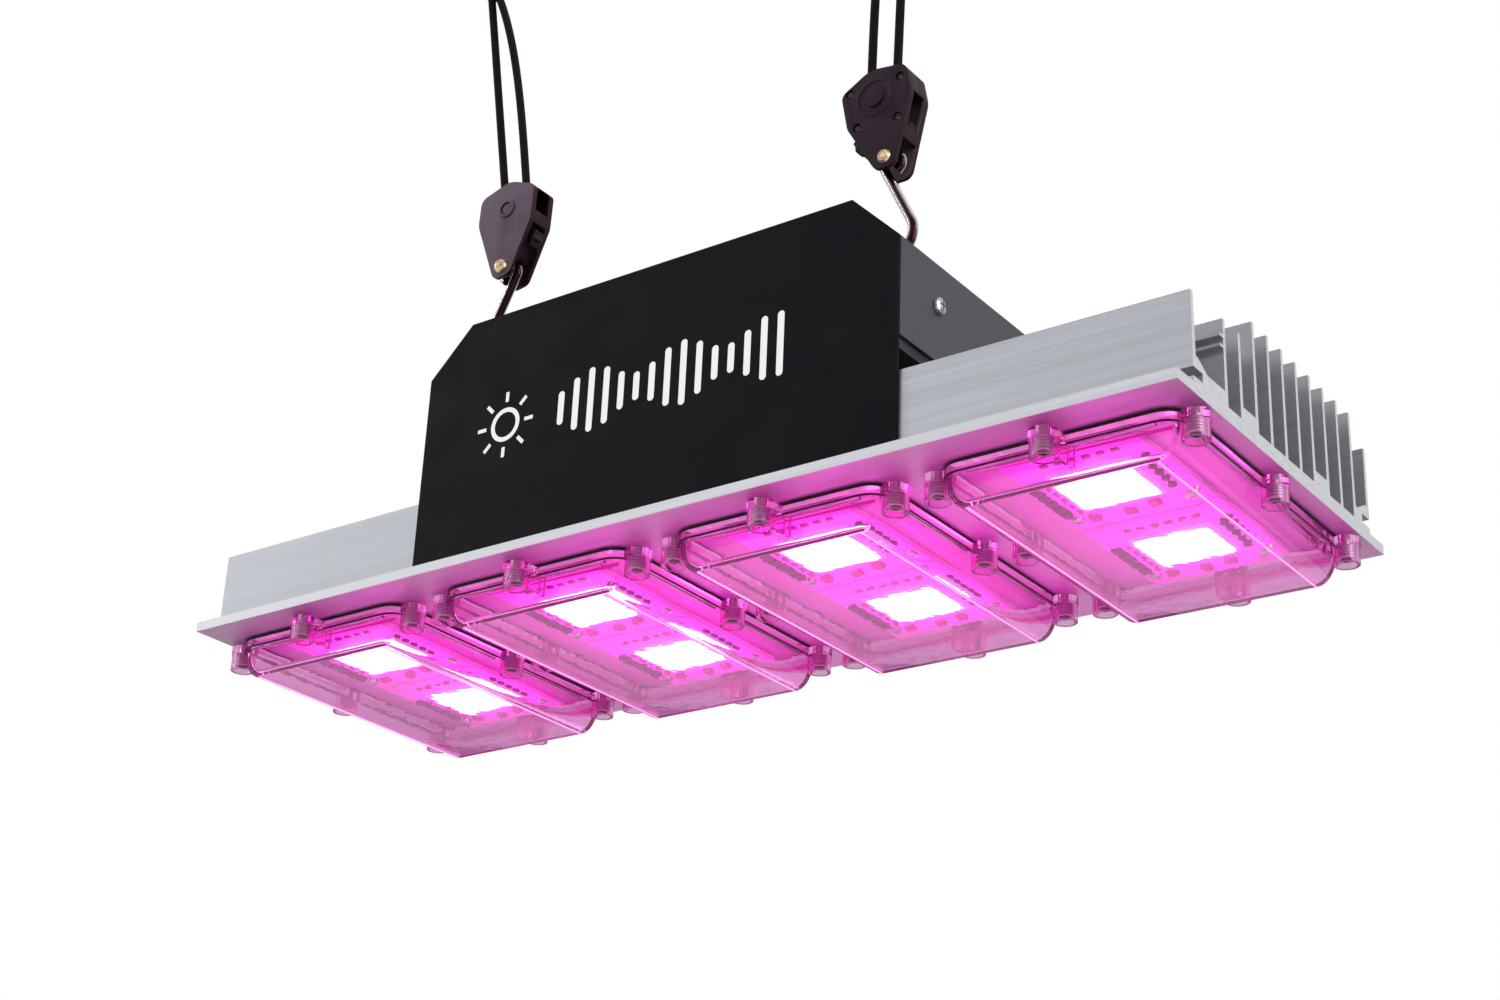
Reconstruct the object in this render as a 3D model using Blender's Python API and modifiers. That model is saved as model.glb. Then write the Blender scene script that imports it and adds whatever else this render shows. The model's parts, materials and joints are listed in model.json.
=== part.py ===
"""LED grow light on two rope ratchet hangers.

A finned heat sink runs along X. Four lens modules, each over two LED boards, are under it, and a
sheet-metal driver housing is on top. Two hooks pass through slots in the housing's sloping shoulders,
and each hangs from a rope ratchet whose rope ends in a hook overhead.

Lengths are in millimetres, in the fixture's own coordinates: X from the left end, Y from the front edge,
Z up from the underside of the heat sink. The root empty moves the model so that its origin is the point
of suspension, and scales it to metres.
"""

import math

import bmesh
import bpy
from mathutils import Matrix, Vector

MM = 0.001
GAP = 0.3

# Heat sink
LENGTH = 520.0
WIDTH = 193.3
BASE = 6.25
LIP = 13.8
LIP_THICK = 4.5
FIN_PITCH = 13.55
FIN_FOOT = 2.5
FIN_TIP = 1.9
SHORT_TOP = 43.5
TALL_TOP = 54.5
SHORT_FINS = (2, 3)
TALL_FINS = (4, 5, 6, 7, 8, 9, 10, 11)
RIB_HEIGHTS = (30.4, 34.9)
RIB_REACH = 3.0
RIB_THICK = 1.2
BLOCK_TOP = 12.0
FOOT_TOP = 16.3
FOOT_WIDTH = 4.0
GROOVE_LOW = 7.0
GROOVE_HIGH = 11.0
GROOVE_DEPTH = 7.8

# Lens modules
MODULES = 4
MODULE_PITCH = 132.0
CENTRE_X = LENGTH / 2
CENTRE_Y = WIDTH / 2
FLANGE_X = 106.0
FLANGE_Y = 156.0
FLANGE_CORNER = 10.0
FLANGE_THICK = 3.8
GASKET_THICK = 1.0
GASKET_WIDE = 3.0
DOME_Y = 148.0
DOME_FOOT = 51.0
WINDOW_HALF = 41.5
WINDOW_Z = -19.0
LENS_WALL = 2.6
BOSS_R = 5.6
EAR_R = 6.0
BOSS_LOW = -13.0
BOSS_WELL_R = 4.2
BOSS_WELL_TOP = -5.0
SCREW_HOLE_R = 2.0
SIDE_BOSS_X = 56.0
SIDE_BOSS_Y = 70.0
END_BOSS_Y = 85.2

# LED boards
BOARD_X = 60.0
BOARD_Y = 67.0
BOARD_PITCH = 69.0
BOARD_THICK = 3.0

# Driver housing
HOUSING_HALF = 131.0
HOUSING_TOP = 129.9
SHOULDER_Z = 106.2
SHOULDER = HOUSING_TOP - SHOULDER_Z
END_LOW = 60.0
SHEET = 1.2
PANEL_THICK = 1.5
PANEL_FRONT = 11.9
PANEL_LOW = LIP_THICK + GAP
TRAY_Z = TALL_TOP + GAP
END_SCREW_Y = 43.0
END_SCREW_Z = 86.0
GLAND_Z = 84.0
SLOT_Y = 38.0
SLOT_WIDTH = 8.0
SLOT_X = (136.5, 150.6)

# Rope hangers, in a hanger's own coordinates: the rivet is the origin, X and Z lie in the ratchet's face
ROPE_R = 1.9
WIRE_R = 2.0
RATCHET_HALF = 7.5
PLATE = 2.0
SHELL_WALL = 1.8
AXLE = (5.3, 31.7)
STRAND = 6.8
ROPE_MOUTH = 46.0
SHEAVE_R = 10.0
SHEAVE_HALF = 4.0
AXLE_R = 2.0
LEVER_PIVOT = (14.5, 20.5)
HOOK_BOWL = (1.2, -36.0)
HOOK_BOWL_R = 12.0
EYE_R = 4.6
ROD_LEAN = math.radians(25.5)
ROPE_LEAN = math.radians(-1.6)
FERRULE_LONG = 10.0
LOOP_R = 7.8
LOOP_NECK_R = 8.0
HITCH_LONG = 14.0
HITCH_DROP = 18.0
TOP_EYE_R = 5.0
TOP_BOWL_R = 9.0
TOP_NECK = 16.0

# Each hanger: its name, the rivet's X and Z, half turns about Z, the ropes' lean and the rope's free length
HANGERS = (
    ("left", 149.5, 171.4, 0, -8.6, 148.0),
    ("right", LENGTH - 149.5, 160.4, 1, 0.0, 156.0),
)
SUSPENSION_Z = 416.3

COLOURS = {
    "extruded_aluminium": ((0.72, 0.73, 0.74), 0.35, 1.0),
    "clear_polycarbonate": ((0.95, 0.86, 0.95), 0.08, 0.0),
    "gasket_rubber": ((0.03, 0.03, 0.03), 0.8, 0.0),
    "led_board": ((0.90, 0.88, 0.84), 0.5, 0.0),
    "black_sheet": ((0.02, 0.018, 0.022), 0.45, 0.0),
    "galvanised_sheet": ((0.55, 0.56, 0.57), 0.4, 1.0),
    "zinc_screw": ((0.75, 0.75, 0.73), 0.3, 1.0),
    "driver_case": ((0.62, 0.63, 0.65), 0.4, 0.6),
    "terminal_plastic": ((0.85, 0.84, 0.78), 0.5, 0.0),
    "gland_nylon": ((0.03, 0.03, 0.03), 0.55, 0.0),
    "ratchet_nylon": ((0.09, 0.075, 0.09), 0.5, 0.0),
    "sheave_nylon": ((0.04, 0.04, 0.045), 0.5, 0.0),
    "brass": ((0.80, 0.62, 0.33), 0.3, 1.0),
    "hook_steel": ((0.35, 0.33, 0.34), 0.25, 1.0),
    "rope_braid": ((0.025, 0.02, 0.024), 0.8, 0.0),
}


# ---------------------------------------------------------------- scene and materials


def clear_scene():
    for obj in list(bpy.data.objects):
        bpy.data.objects.remove(obj, do_unlink=True)


def new_collection(name):
    made = bpy.data.collections.new(name)
    bpy.context.scene.collection.children.link(made)
    return made


def make_materials():
    made = {}
    for name, (colour, roughness, metallic) in COLOURS.items():
        mat = bpy.data.materials.new(name)
        mat.use_nodes = True
        shader = mat.node_tree.nodes["Principled BSDF"]
        shader.inputs["Base Color"].default_value = (*colour, 1.0)
        shader.inputs["Roughness"].default_value = roughness
        shader.inputs["Metallic"].default_value = metallic
        made[name] = mat
    clear = made["clear_polycarbonate"].node_tree.nodes["Principled BSDF"]
    clear.inputs["Transmission Weight"].default_value = 0.9
    return made


clear_scene()
PARTS = new_collection("led_grow_light")
CUTTERS = new_collection("cutters")
MATERIALS = make_materials()


def empty_at(name, parent, matrix):
    made = bpy.data.objects.new(name, None)
    PARTS.objects.link(made)
    made.parent = parent
    made.matrix_local = matrix
    return made


ORIGIN = Matrix.Scale(MM, 4) @ Matrix.Translation((-CENTRE_X, -SLOT_Y, -SUSPENSION_Z))
ROOT = empty_at("fixture_frame", None, ORIGIN)


# ---------------------------------------------------------------- shape helpers


def mesh_object(name, bm):
    bmesh.ops.recalc_face_normals(bm, faces=bm.faces)
    mesh = bpy.data.meshes.new(name)
    bm.to_mesh(mesh)
    bm.free()
    obj = bpy.data.objects.new(name, mesh)
    CUTTERS.objects.link(obj)
    obj.hide_render = True
    obj.display_type = "WIRE"
    return obj


def settle(obj):
    """Applies an object's modifiers and merges the flat faces that its cuts left in pieces."""
    graph = bpy.context.evaluated_depsgraph_get()
    mesh = bpy.data.meshes.new_from_object(obj.evaluated_get(graph))
    mesh.name = obj.name
    bm = bmesh.new()
    bm.from_mesh(mesh)
    bmesh.ops.dissolve_limit(bm, angle_limit=math.radians(0.2), verts=bm.verts, edges=bm.edges)
    bm.to_mesh(mesh)
    bm.free()
    obj.modifiers.clear()
    obj.data = mesh
    return obj


def finish(obj, material, parent=ROOT, smooth=None):
    """Makes a shape one of the parts: its collection, material, parent and shading."""
    if obj.modifiers:
        settle(obj)
    CUTTERS.objects.unlink(obj)
    PARTS.objects.link(obj)
    obj.hide_render = False
    obj.display_type = "TEXTURED"
    obj.parent = parent
    obj.data.materials.clear()
    obj.data.materials.append(MATERIALS[material])
    if smooth:
        obj.data.shade_smooth()
        obj.data.set_sharp_from_angle(angle=math.radians(smooth))
    return obj


def box(name, low, high):
    bm = bmesh.new()
    low, high = Vector(low), Vector(high)
    size = Matrix.Diagonal((*(high - low), 1.0))
    bmesh.ops.create_cube(bm, size=1.0, matrix=Matrix.Translation((low + high) / 2) @ size)
    return mesh_object(name, bm)


TURN = {
    "X": Matrix(((0, 0, 1), (1, 0, 0), (0, 1, 0))).to_4x4(),
    "Y": Matrix(((1, 0, 0), (0, 0, -1), (0, 1, 0))).to_4x4(),
    "Z": Matrix.Identity(4),
}


def cylinder(name, centre, radius, low, high, axis, sides=24, top_radius=None):
    """A round bar or cone along an axis, from low to high; centre is its place in the other two axes."""
    bm = bmesh.new()
    place = Matrix.Translation((centre[0], centre[1], (low + high) / 2))
    if axis == "Y":
        place = Matrix.Translation((*centre, -(low + high) / 2)) @ Matrix.Rotation(math.pi, 4, "X")
    end = radius if top_radius is None else top_radius
    bmesh.ops.create_cone(
        bm, cap_ends=True, segments=sides, radius1=radius, radius2=end, depth=high - low,
        matrix=TURN[axis] @ place,
    )
    return mesh_object(name, bm)


def plate(name, outline, low, high, axis):
    """A flat outline given thickness along an axis, from low to high."""
    flat = bpy.data.curves.new(name, "CURVE")
    flat.dimensions = "2D"
    flat.fill_mode = "BOTH"
    flat.extrude = (high - low) / 2
    line = flat.splines.new("POLY")
    line.points.add(len(outline) - 1)
    for point, (u, v) in zip(line.points, outline):
        point.co = (u, v, 0, 1)
    line.use_cyclic_u = True
    middle = (low + high) / 2
    depth = -middle if axis == "Y" else middle
    return mesh_of_curve(name, flat, TURN[axis] @ Matrix.Translation((0, 0, depth)))


def mesh_of_curve(name, curve, matrix):
    """The closed mesh that a curve makes, with its caps welded on."""
    source = bpy.data.objects.new(name, curve)
    CUTTERS.objects.link(source)
    graph = bpy.context.evaluated_depsgraph_get()
    mesh = bpy.data.meshes.new_from_object(source.evaluated_get(graph))
    bpy.data.objects.remove(source, do_unlink=True)
    bm = bmesh.new()
    bm.from_mesh(mesh)
    bmesh.ops.transform(bm, matrix=matrix, verts=bm.verts)
    bmesh.ops.remove_doubles(bm, verts=bm.verts, dist=0.001)
    return mesh_object(name, bm)


def tube(name, points, radius, sides=8):
    """A round wire or rope along points, with capped ends."""
    wire = bpy.data.curves.new(name, "CURVE")
    wire.dimensions = "3D"
    wire.bevel_depth = radius
    wire.bevel_resolution = sides // 2 - 2
    wire.use_fill_caps = True
    line = wire.splines.new("POLY")
    line.points.add(len(points) - 1)
    for point, place in zip(line.points, points):
        point.co = (*place, 1)
    return mesh_of_curve(name, wire, Matrix.Identity(4))


def turned(name, profile, axis, place, sides=24):
    """A closed profile of (radius, height) points turned about an axis through place."""
    bm = bmesh.new()
    ring = [bm.verts.new((radius, 0, height)) for radius, height in profile]
    for i, corner in enumerate(ring):
        bm.edges.new((corner, ring[(i + 1) % len(ring)]))
    bmesh.ops.spin(
        bm, geom=bm.verts[:] + bm.edges[:], cent=(0, 0, 0), axis=(0, 0, 1), angle=math.tau, steps=sides,
        use_merge=True, use_duplicate=False,
    )
    bmesh.ops.remove_doubles(bm, verts=bm.verts, dist=0.001)
    bmesh.ops.delete(bm, geom=[edge for edge in bm.edges if not edge.link_faces], context="EDGES")
    bmesh.ops.transform(bm, matrix=Matrix.Translation(place) @ TURN[axis], verts=bm.verts)
    return mesh_object(name, bm)


def boolean(obj, operation, others):
    for other in others:
        step = obj.modifiers.new(other.name, "BOOLEAN")
        step.operation = operation
        step.solver = "EXACT"
        step.object = other
    return obj


def cut(obj, *cutters):
    return boolean(obj, "DIFFERENCE", cutters)


def join(obj, *others):
    return boolean(obj, "UNION", others)


def arc(centre, radius, start, end, steps):
    """Points on an arc, angles in degrees from the first axis towards the second."""
    angles = [math.radians(start + (end - start) * i / steps) for i in range(steps + 1)]
    return [(centre[0] + radius * math.cos(a), centre[1] + radius * math.sin(a)) for a in angles]


def rounded(corners, steps=4):
    """A polygon of (x, y, radius) corners with each corner rounded by an arc."""
    made = []
    for i, (x, y, radius) in enumerate(corners):
        here = Vector((x, y))
        before = (Vector(corners[i - 1][:2]) - here).normalized()
        after = (Vector(corners[(i + 1) % len(corners)][:2]) - here).normalized()
        half = before.angle(after) / 2
        centre = here + (before + after).normalized() * radius / math.sin(half)
        start = here + before * radius / math.tan(half) - centre
        end = here + after * radius / math.tan(half) - centre
        sweep = start.angle_signed(end)
        for k in range(steps + 1):
            turn = Matrix.Rotation(-sweep * k / steps, 2)
            made.append(tuple(centre + turn @ start))
    return made


def rectangle(half_x, half_y, radius, centre=(0.0, 0.0)):
    signs = ((-1, -1), (1, -1), (1, 1), (-1, 1))
    return rounded([(centre[0] + sx * half_x, centre[1] + sy * half_y, radius) for sx, sy in signs])


def curve_between(start, start_pull, end_pull, end, steps):
    """Points of a cubic Bezier curve, without its first point."""
    made = []
    for i in range(1, steps + 1):
        t = i / steps
        weights = ((1 - t) ** 3, 3 * t * (1 - t) ** 2, 3 * t * t * (1 - t), t ** 3)
        corners = (start, start_pull, end_pull, end)
        made.append(tuple(sum(w * p[k] for w, p in zip(weights, corners)) for k in range(len(start))))
    return made


# ---------------------------------------------------------------- heat sink


def fin(front, top, floor_before, floor_after, ribs=False):
    """The outline of one fin, from the floor in front of it to the floor behind it."""
    slope = (FIN_FOOT - FIN_TIP) / 2
    made = [(front, floor_before)]
    if ribs:
        for height in RIB_HEIGHTS:
            made += [(front + slope, height), (front + slope - RIB_REACH, height)]
            made += [(front + slope - RIB_REACH, height + RIB_THICK), (front + slope, height + RIB_THICK)]
    return made + [(front + slope, top), (front + slope + FIN_TIP, top), (front + FIN_FOOT, floor_after)]


def lip_and_wall():
    """The front edge, from the underside to the outer fin's inner foot: lip, screw groove and outer fin."""
    return [
        (0, 0),
        (0, LIP_THICK),
        (LIP, LIP_THICK),
        (LIP, GROOVE_LOW),
        (LIP + GROOVE_DEPTH, GROOVE_LOW),
        (LIP + GROOVE_DEPTH, GROOVE_HIGH),
        (LIP, GROOVE_HIGH),
        (LIP, SHORT_TOP),
        (LIP + FIN_TIP, SHORT_TOP),
        (LIP + FIN_FOOT, FOOT_TOP),
        (LIP + FOOT_WIDTH, FOOT_TOP),
        (LIP + 3 * FOOT_WIDTH, BLOCK_TOP),
    ]


def heat_sink():
    fronts = {n: LIP + FIN_PITCH * n for n in range(13)}
    block_after = {3, 8}
    made = lip_and_wall()
    floor = BLOCK_TOP
    for n in SHORT_FINS + TALL_FINS:
        after = BLOCK_TOP if n in block_after or n == TALL_FINS[-1] else BASE
        top = SHORT_TOP if n in SHORT_FINS else TALL_TOP
        made += fin(fronts[n], top, floor, after, ribs=n == SHORT_FINS[0])
        floor = after
    made += [(WIDTH - y, z) for y, z in reversed(lip_and_wall())]
    finish(plate("heat_sink", made, 0, LENGTH, "X"), "extruded_aluminium")


# ---------------------------------------------------------------- lens modules


def boss_places():
    """Screw boss centres of one module, measured from the module's centre."""
    sides = [(sx * SIDE_BOSS_X, y) for sx in (-1, 1) for y in (-SIDE_BOSS_Y, 0.0, SIDE_BOSS_Y)]
    return sides + [(0.0, -END_BOSS_Y), (0.0, END_BOSS_Y)]


def flange(name, low, high):
    """The flange outline with an ear round each screw, between two heights."""
    body = plate(name, rectangle(FLANGE_X / 2, FLANGE_Y / 2, FLANGE_CORNER), low, high, "Z")
    ears = []
    for i, (x, y) in enumerate(boss_places()):
        ears.append(cylinder(f"{name}_ear_{i}", (x, y), EAR_R, low, high, "Z", 12))
        if x == 0:
            inner = math.copysign(FLANGE_Y / 2 - 2, y)
            near, far = sorted((y, inner))
            ears.append(box(f"{name}_neck_{i}", (-EAR_R, near, low), (EAR_R, far, high)))
    return settle(join(body, *ears))


def dome(name, half_y, shrink, foot, top):
    """The lens tunnel: quarter-round sides and a flat window, extruded across the module."""
    window = WINDOW_Z + shrink
    half = WINDOW_HALF - shrink * 0.2
    reach = DOME_FOOT - shrink - half
    drop = foot - window
    side = [(half + reach * u, foot - drop * v) for u, v in arc((0, 0), 1, 0, 90, 5)]
    outline = [(half + reach, top)] + side
    outline += [(-x, z) for x, z in reversed(outline)]
    return plate(name, outline, -half_y, half_y, "Y")


def lens_mesh():
    """One lens cover, centred on its module."""
    top = -GASKET_THICK - 2 * GAP
    low = top - FLANGE_THICK
    lens = flange("lens_flange", low, top)
    wells, bosses = [], []
    for i, (x, y) in enumerate(boss_places()):
        bosses.append(cylinder(f"boss_{i}", (x, y), BOSS_R, BOSS_LOW, low + 1, "Z", 12))
        wells.append(cylinder(f"well_{i}", (x, y), BOSS_WELL_R, BOSS_LOW - 1, BOSS_WELL_TOP, "Z", 8))
        wells.append(cylinder(f"hole_{i}", (x, y), SCREW_HOLE_R, BOSS_WELL_TOP - 1, top + 1, "Z", 6))
    join(lens, dome("dome", DOME_Y / 2, 0.0, low + 1, low + 1), *bosses)
    cut(lens, dome("dome_hollow", DOME_Y / 2 - LENS_WALL, LENS_WALL, low, top + 1), *wells)
    return settle(lens)


def gasket_mesh():
    """The flat gasket ring under the flange's edge."""
    half_x, half_y = FLANGE_X / 2, FLANGE_Y / 2
    ring = plate("gasket_ring", rectangle(half_x, half_y, FLANGE_CORNER), -GASKET_THICK - GAP, -GAP, "Z")
    inner = rectangle(half_x - GASKET_WIDE, half_y - GASKET_WIDE, FLANGE_CORNER - GASKET_WIDE)
    return settle(cut(ring, plate("gasket_hollow", inner, -2 * GASKET_THICK, GASKET_THICK, "Z")))


def copy_of(source, name, place, material, smooth=None):
    made = bpy.data.objects.new(name, source.data)
    CUTTERS.objects.link(made)
    finish(made, material, smooth=smooth)
    made.location = place
    return made


def lens_modules():
    lens = lens_mesh()
    gasket = gasket_mesh()
    board = box("board", (-BOARD_X / 2, -BOARD_Y / 2, -GAP - BOARD_THICK), (BOARD_X / 2, BOARD_Y / 2, -GAP))
    for i in range(MODULES):
        x = CENTRE_X + (i - (MODULES - 1) / 2) * MODULE_PITCH
        copy_of(lens, f"lens_cover_{i + 1}", (x, CENTRE_Y, 0), "clear_polycarbonate")
        copy_of(gasket, f"lens_gasket_{i + 1}", (x, CENTRE_Y, 0), "gasket_rubber")
        for k, side in enumerate((-0.5, 0.5)):
            place = (x, CENTRE_Y + side * BOARD_PITCH, 0)
            copy_of(board, f"led_board_{2 * i + k + 1}", place, "led_board")


# ---------------------------------------------------------------- driver housing


def housing_outline(inset, low):
    """The housing seen from the front, inset from its outer faces."""
    half = HOUSING_HALF - inset
    corner = inset * math.tan(math.radians(22.5))
    return [
        (CENTRE_X - half, low),
        (CENTRE_X - half, SHOULDER_Z - corner),
        (CENTRE_X - HOUSING_HALF + SHOULDER + corner, HOUSING_TOP - inset),
        (CENTRE_X + HOUSING_HALF - SHOULDER - corner, HOUSING_TOP - inset),
        (CENTRE_X + half, SHOULDER_Z - corner),
        (CENTRE_X + half, low),
    ]


def panels():
    back = WIDTH - PANEL_FRONT
    outline = housing_outline(0, PANEL_LOW)
    finish(plate("front_panel", outline, PANEL_FRONT, PANEL_FRONT + PANEL_THICK, "Y"), "black_sheet")
    finish(plate("back_panel", outline, back - PANEL_THICK, back, "Y"), "black_sheet")


def hook_slot(name, mirrored, y):
    """A round-ended slot cutter through one sloping shoulder."""
    middle = sum(SLOT_X) / 2
    half = (SLOT_X[1] - SLOT_X[0]) * math.sqrt(2) / 2
    radius = SLOT_WIDTH / 2
    outline = arc((half - radius, 0), radius, -90, 90, 6) + arc((radius - half, 0), radius, 90, 270, 6)
    slot = plate(name, outline, -6, 6, "Z")
    lift = HOUSING_TOP - (CENTRE_X - HOUSING_HALF + SHOULDER)
    place = Matrix.Translation((middle, y, middle + lift)) @ Matrix.Rotation(-math.pi / 4, 4, "Y")
    if mirrored:
        place = Matrix.Translation((LENGTH, 0, 0)) @ Matrix.Diagonal((-1, 1, 1, 1)) @ place
    slot.data.transform(place)
    if mirrored:
        slot.data.flip_normals()
    return slot


def end_screw_places():
    """(side, y) of the four screws through the housing's ends."""
    return [(side, y) for side in (-1, 1) for y in (END_SCREW_Y, WIDTH - END_SCREW_Y)]


def housing_cover():
    outside = housing_outline(0, END_LOW)
    inside = housing_outline(SHEET, END_LOW)
    front = PANEL_FRONT + PANEL_THICK + GAP
    cover = plate("housing_cover", outside + inside[::-1], front, WIDTH - front, "Y")
    cutters = [
        hook_slot(f"slot_{mirrored}_{i}", mirrored, y)
        for mirrored in (False, True)
        for i, y in enumerate((SLOT_Y, WIDTH - SLOT_Y))
    ]
    for i, (side, y) in enumerate(end_screw_places()):
        x = CENTRE_X + side * HOUSING_HALF
        cutters.append(cylinder(f"end_hole_{i}", (y, END_SCREW_Z), 2.4, x - 4, x + 4, "X", 12))
    left = CENTRE_X - HOUSING_HALF
    cutters.append(cylinder("gland_hole", (CENTRE_Y, GLAND_Z), 7.9, left - 4, left + 4, "X", 20))
    finish(cut(cover, *cutters), "black_sheet")


def chassis_tray():
    """The folded tray on the tall fins, whose upturned ends take the cover's screws."""
    half = HOUSING_HALF - SHEET - GAP
    flange_top = SHOULDER_Z - 6
    outline = [
        (CENTRE_X - half, TRAY_Z),
        (CENTRE_X + half, TRAY_Z),
        (CENTRE_X + half, flange_top),
        (CENTRE_X + half - SHEET, flange_top),
        (CENTRE_X + half - SHEET, TRAY_Z + SHEET),
        (CENTRE_X - half + SHEET, TRAY_Z + SHEET),
        (CENTRE_X - half + SHEET, flange_top),
        (CENTRE_X - half, flange_top),
    ]
    inner = PANEL_FRONT + PANEL_THICK + GAP
    tray = plate("chassis_tray", outline, inner, WIDTH - inner, "Y")
    cutters = []
    for i, (side, y) in enumerate(end_screw_places()):
        x = CENTRE_X + side * half
        cutters.append(cylinder(f"tray_hole_{i}", (y, END_SCREW_Z), 2.4, x - 4, x + 4, "X", 12))
    left = CENTRE_X - half
    cutters.append(cylinder("tray_gland_hole", (CENTRE_Y, GLAND_Z), 7.9, left - 4, left + 4, "X", 20))
    finish(cut(tray, *cutters), "galvanised_sheet")


def end_screws():
    """Pan-head screws: a domed head outside the cover and a shank through cover and tray."""
    for i, (side, y) in enumerate(end_screw_places()):
        head = [(0, 2.9), (2.2, 2.6), (3.5, 1.6), (3.9, GAP), (2.0, GAP), (2.0, -6.5), (0, -6.5)]
        screw = turned(f"end_screw_{i + 1}", head, "X", (0, 0, 0), 10)
        if side < 0:
            screw.data.transform(Matrix.Rotation(math.pi, 4, "Z"))
        finish(screw, "zinc_screw", smooth=40)
        screw.location = (CENTRE_X + side * HOUSING_HALF, y, END_SCREW_Z)


def electronics():
    """What the housing holds: two LED drivers and the terminal block that the mains lead goes to."""
    floor = TRAY_Z + SHEET + GAP
    for i, y in enumerate((CENTRE_Y - 62, CENTRE_Y + 4)):
        driver = box(f"led_driver_{i + 1}", (CENTRE_X - 88, y, floor), (CENTRE_X + 112, y + 58, floor + 36))
        bevel = driver.modifiers.new("edges", "BEVEL")
        bevel.width = 2.0
        bevel.segments = 2
        finish(driver, "driver_case")
    left = CENTRE_X - 108
    block = box("terminal_block", (left, CENTRE_Y + 14, floor), (left + 16, CENTRE_Y + 50, floor + 14))
    finish(block, "terminal_plastic")


def cable_gland():
    """The mains inlet: a hexagon and dome outside the left end, and a lock nut inside."""
    left = CENTRE_X - HOUSING_HALF
    thread = 7.5
    bore = 3.4
    profile = [
        (bore, 20.0), (5.2, 20.0), (7.6, 17.0), (8.6, 10.0), (8.6, 6.0), (10.0, 6.0), (10.0, GAP),
        (thread, GAP), (thread, -9.0), (bore, -9.0),
    ]
    gland = turned("cable_gland", profile, "X", (0, 0, 0), 16)
    gland.data.transform(Matrix.Rotation(math.pi, 4, "Z"))
    finish(gland, "gland_nylon", smooth=30)
    gland.location = (left, CENTRE_Y, GLAND_Z)
    inside = left + 2 * SHEET + 2 * GAP
    nut = cylinder("gland_nut", (CENTRE_Y, GLAND_Z), 10.0, inside, inside + 4, "X", 6)
    nut_bore = cylinder("nut_bore", (CENTRE_Y, GLAND_Z), thread + GAP, inside - 1, inside + 5, "X", 16)
    finish(cut(nut, nut_bore), "gland_nylon")


# ---------------------------------------------------------------- rope hangers


def ratchet_outline(inset=0.0):
    """The ratchet seen from its front: narrow at the rivet, with a lower shoulder on the lever's side."""
    corners = (
        (-5.4, -5.6, 4.5),
        (4.6, -5.6, 4.5),
        (19.6, 20.0, 8.0),
        (23.2, 38.5, 4.0),
        (8.0, 47.2, 12.0),
        (-10.5, 44.5, 5.0),
        (-13.4, 30.0, 12.0),
    )
    middle = Vector((3.0, 24.0))
    made = []
    for i, (x, z, radius) in enumerate(corners):
        here = Vector((x, z))
        before = (Vector(corners[i - 1][:2]) - here).normalized()
        after = (Vector(corners[(i + 1) % len(corners)][:2]) - here).normalized()
        inward = (before + after).normalized()
        if inward.dot(middle - here) < 0:
            inward = -inward
        moved = here + inward * inset / math.sin(before.angle(after) / 2)
        made.append((moved.x, moved.y, max(radius - inset, 1.0)))
    return rounded(made, 3)


def shell_openings(name):
    """Cutters for the shell walls: rope mouths, side windows and the open foot round the hook's eye."""
    depth = RATCHET_HALF - PLATE
    mouths = [
        cylinder(f"{name}_mouth_{i}", (AXLE[0] + side * STRAND, 0), ROPE_R + 0.7, 36, 60, "Z", 12)
        for i, side in enumerate((-1, 1))
    ]
    windows = [
        box(f"{name}_upper_window", (16.0, -depth + 1, 25.5), (30.0, depth - 1, 38.0)),
        box(f"{name}_lever_window", (5.0, -depth + 1, 5.0), (30.0, depth - 1, 19.0)),
        box(f"{name}_left_window", (-30.0, -depth + 1, 14.0), (-9.0, depth - 1, 31.0)),
        box(f"{name}_foot", (-30.0, -depth, -30.0), (30.0, depth, 8.5)),
    ]
    return mouths + windows


def ratchet_shell(name, side, frame):
    """One half of the ratchet's case; side is -1 for the front and 1 for the back."""
    joint = side * GAP / 2
    face = side * RATCHET_HALF
    inner = side * (RATCHET_HALF - PLATE)
    low, high = sorted((face, joint))
    shell = plate(name, ratchet_outline(), low, high, "Y")
    low, high = sorted((inner, joint - side * 3))
    hollow = plate(f"{name}_hollow", ratchet_outline(SHELL_WALL), low, high, "Y")
    low, high = sorted((face + side, inner - side))
    holes = [cylinder(f"{name}_rivet_hole", (0, 0), 2.3, low, high, "Y", 12)]
    low, high = sorted((inner - side, inner + side * 1.2))
    holes.append(cylinder(f"{name}_axle_hole", AXLE, AXLE_R + GAP, low, high, "Y", 12))
    cut(shell, hollow, *holes, *shell_openings(name))
    if side > 0:
        front = -RATCHET_HALF + PLATE + GAP
        pin = cylinder(f"{name}_lever_pin", LEVER_PIVOT, 1.2, front, RATCHET_HALF - 1, "Y", 12)
        join(shell, pin)
    finish(shell, "ratchet_nylon", frame)


def rivet(name, frame):
    """The brass rivet through both plates, with a domed head in front and a rolled tail behind."""
    reach = RATCHET_HALF + GAP
    profile = [
        (0, reach + 2.0), (2.4, reach + 1.5), (3.8, reach), (2.0, reach), (2.0, -reach),
        (3.4, -reach), (2.6, -reach - 1.2), (0, -reach - 1.2),
    ]
    finish(turned(name, profile, "Y", (0, 0, 0), 16), "brass", frame, smooth=40)


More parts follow.
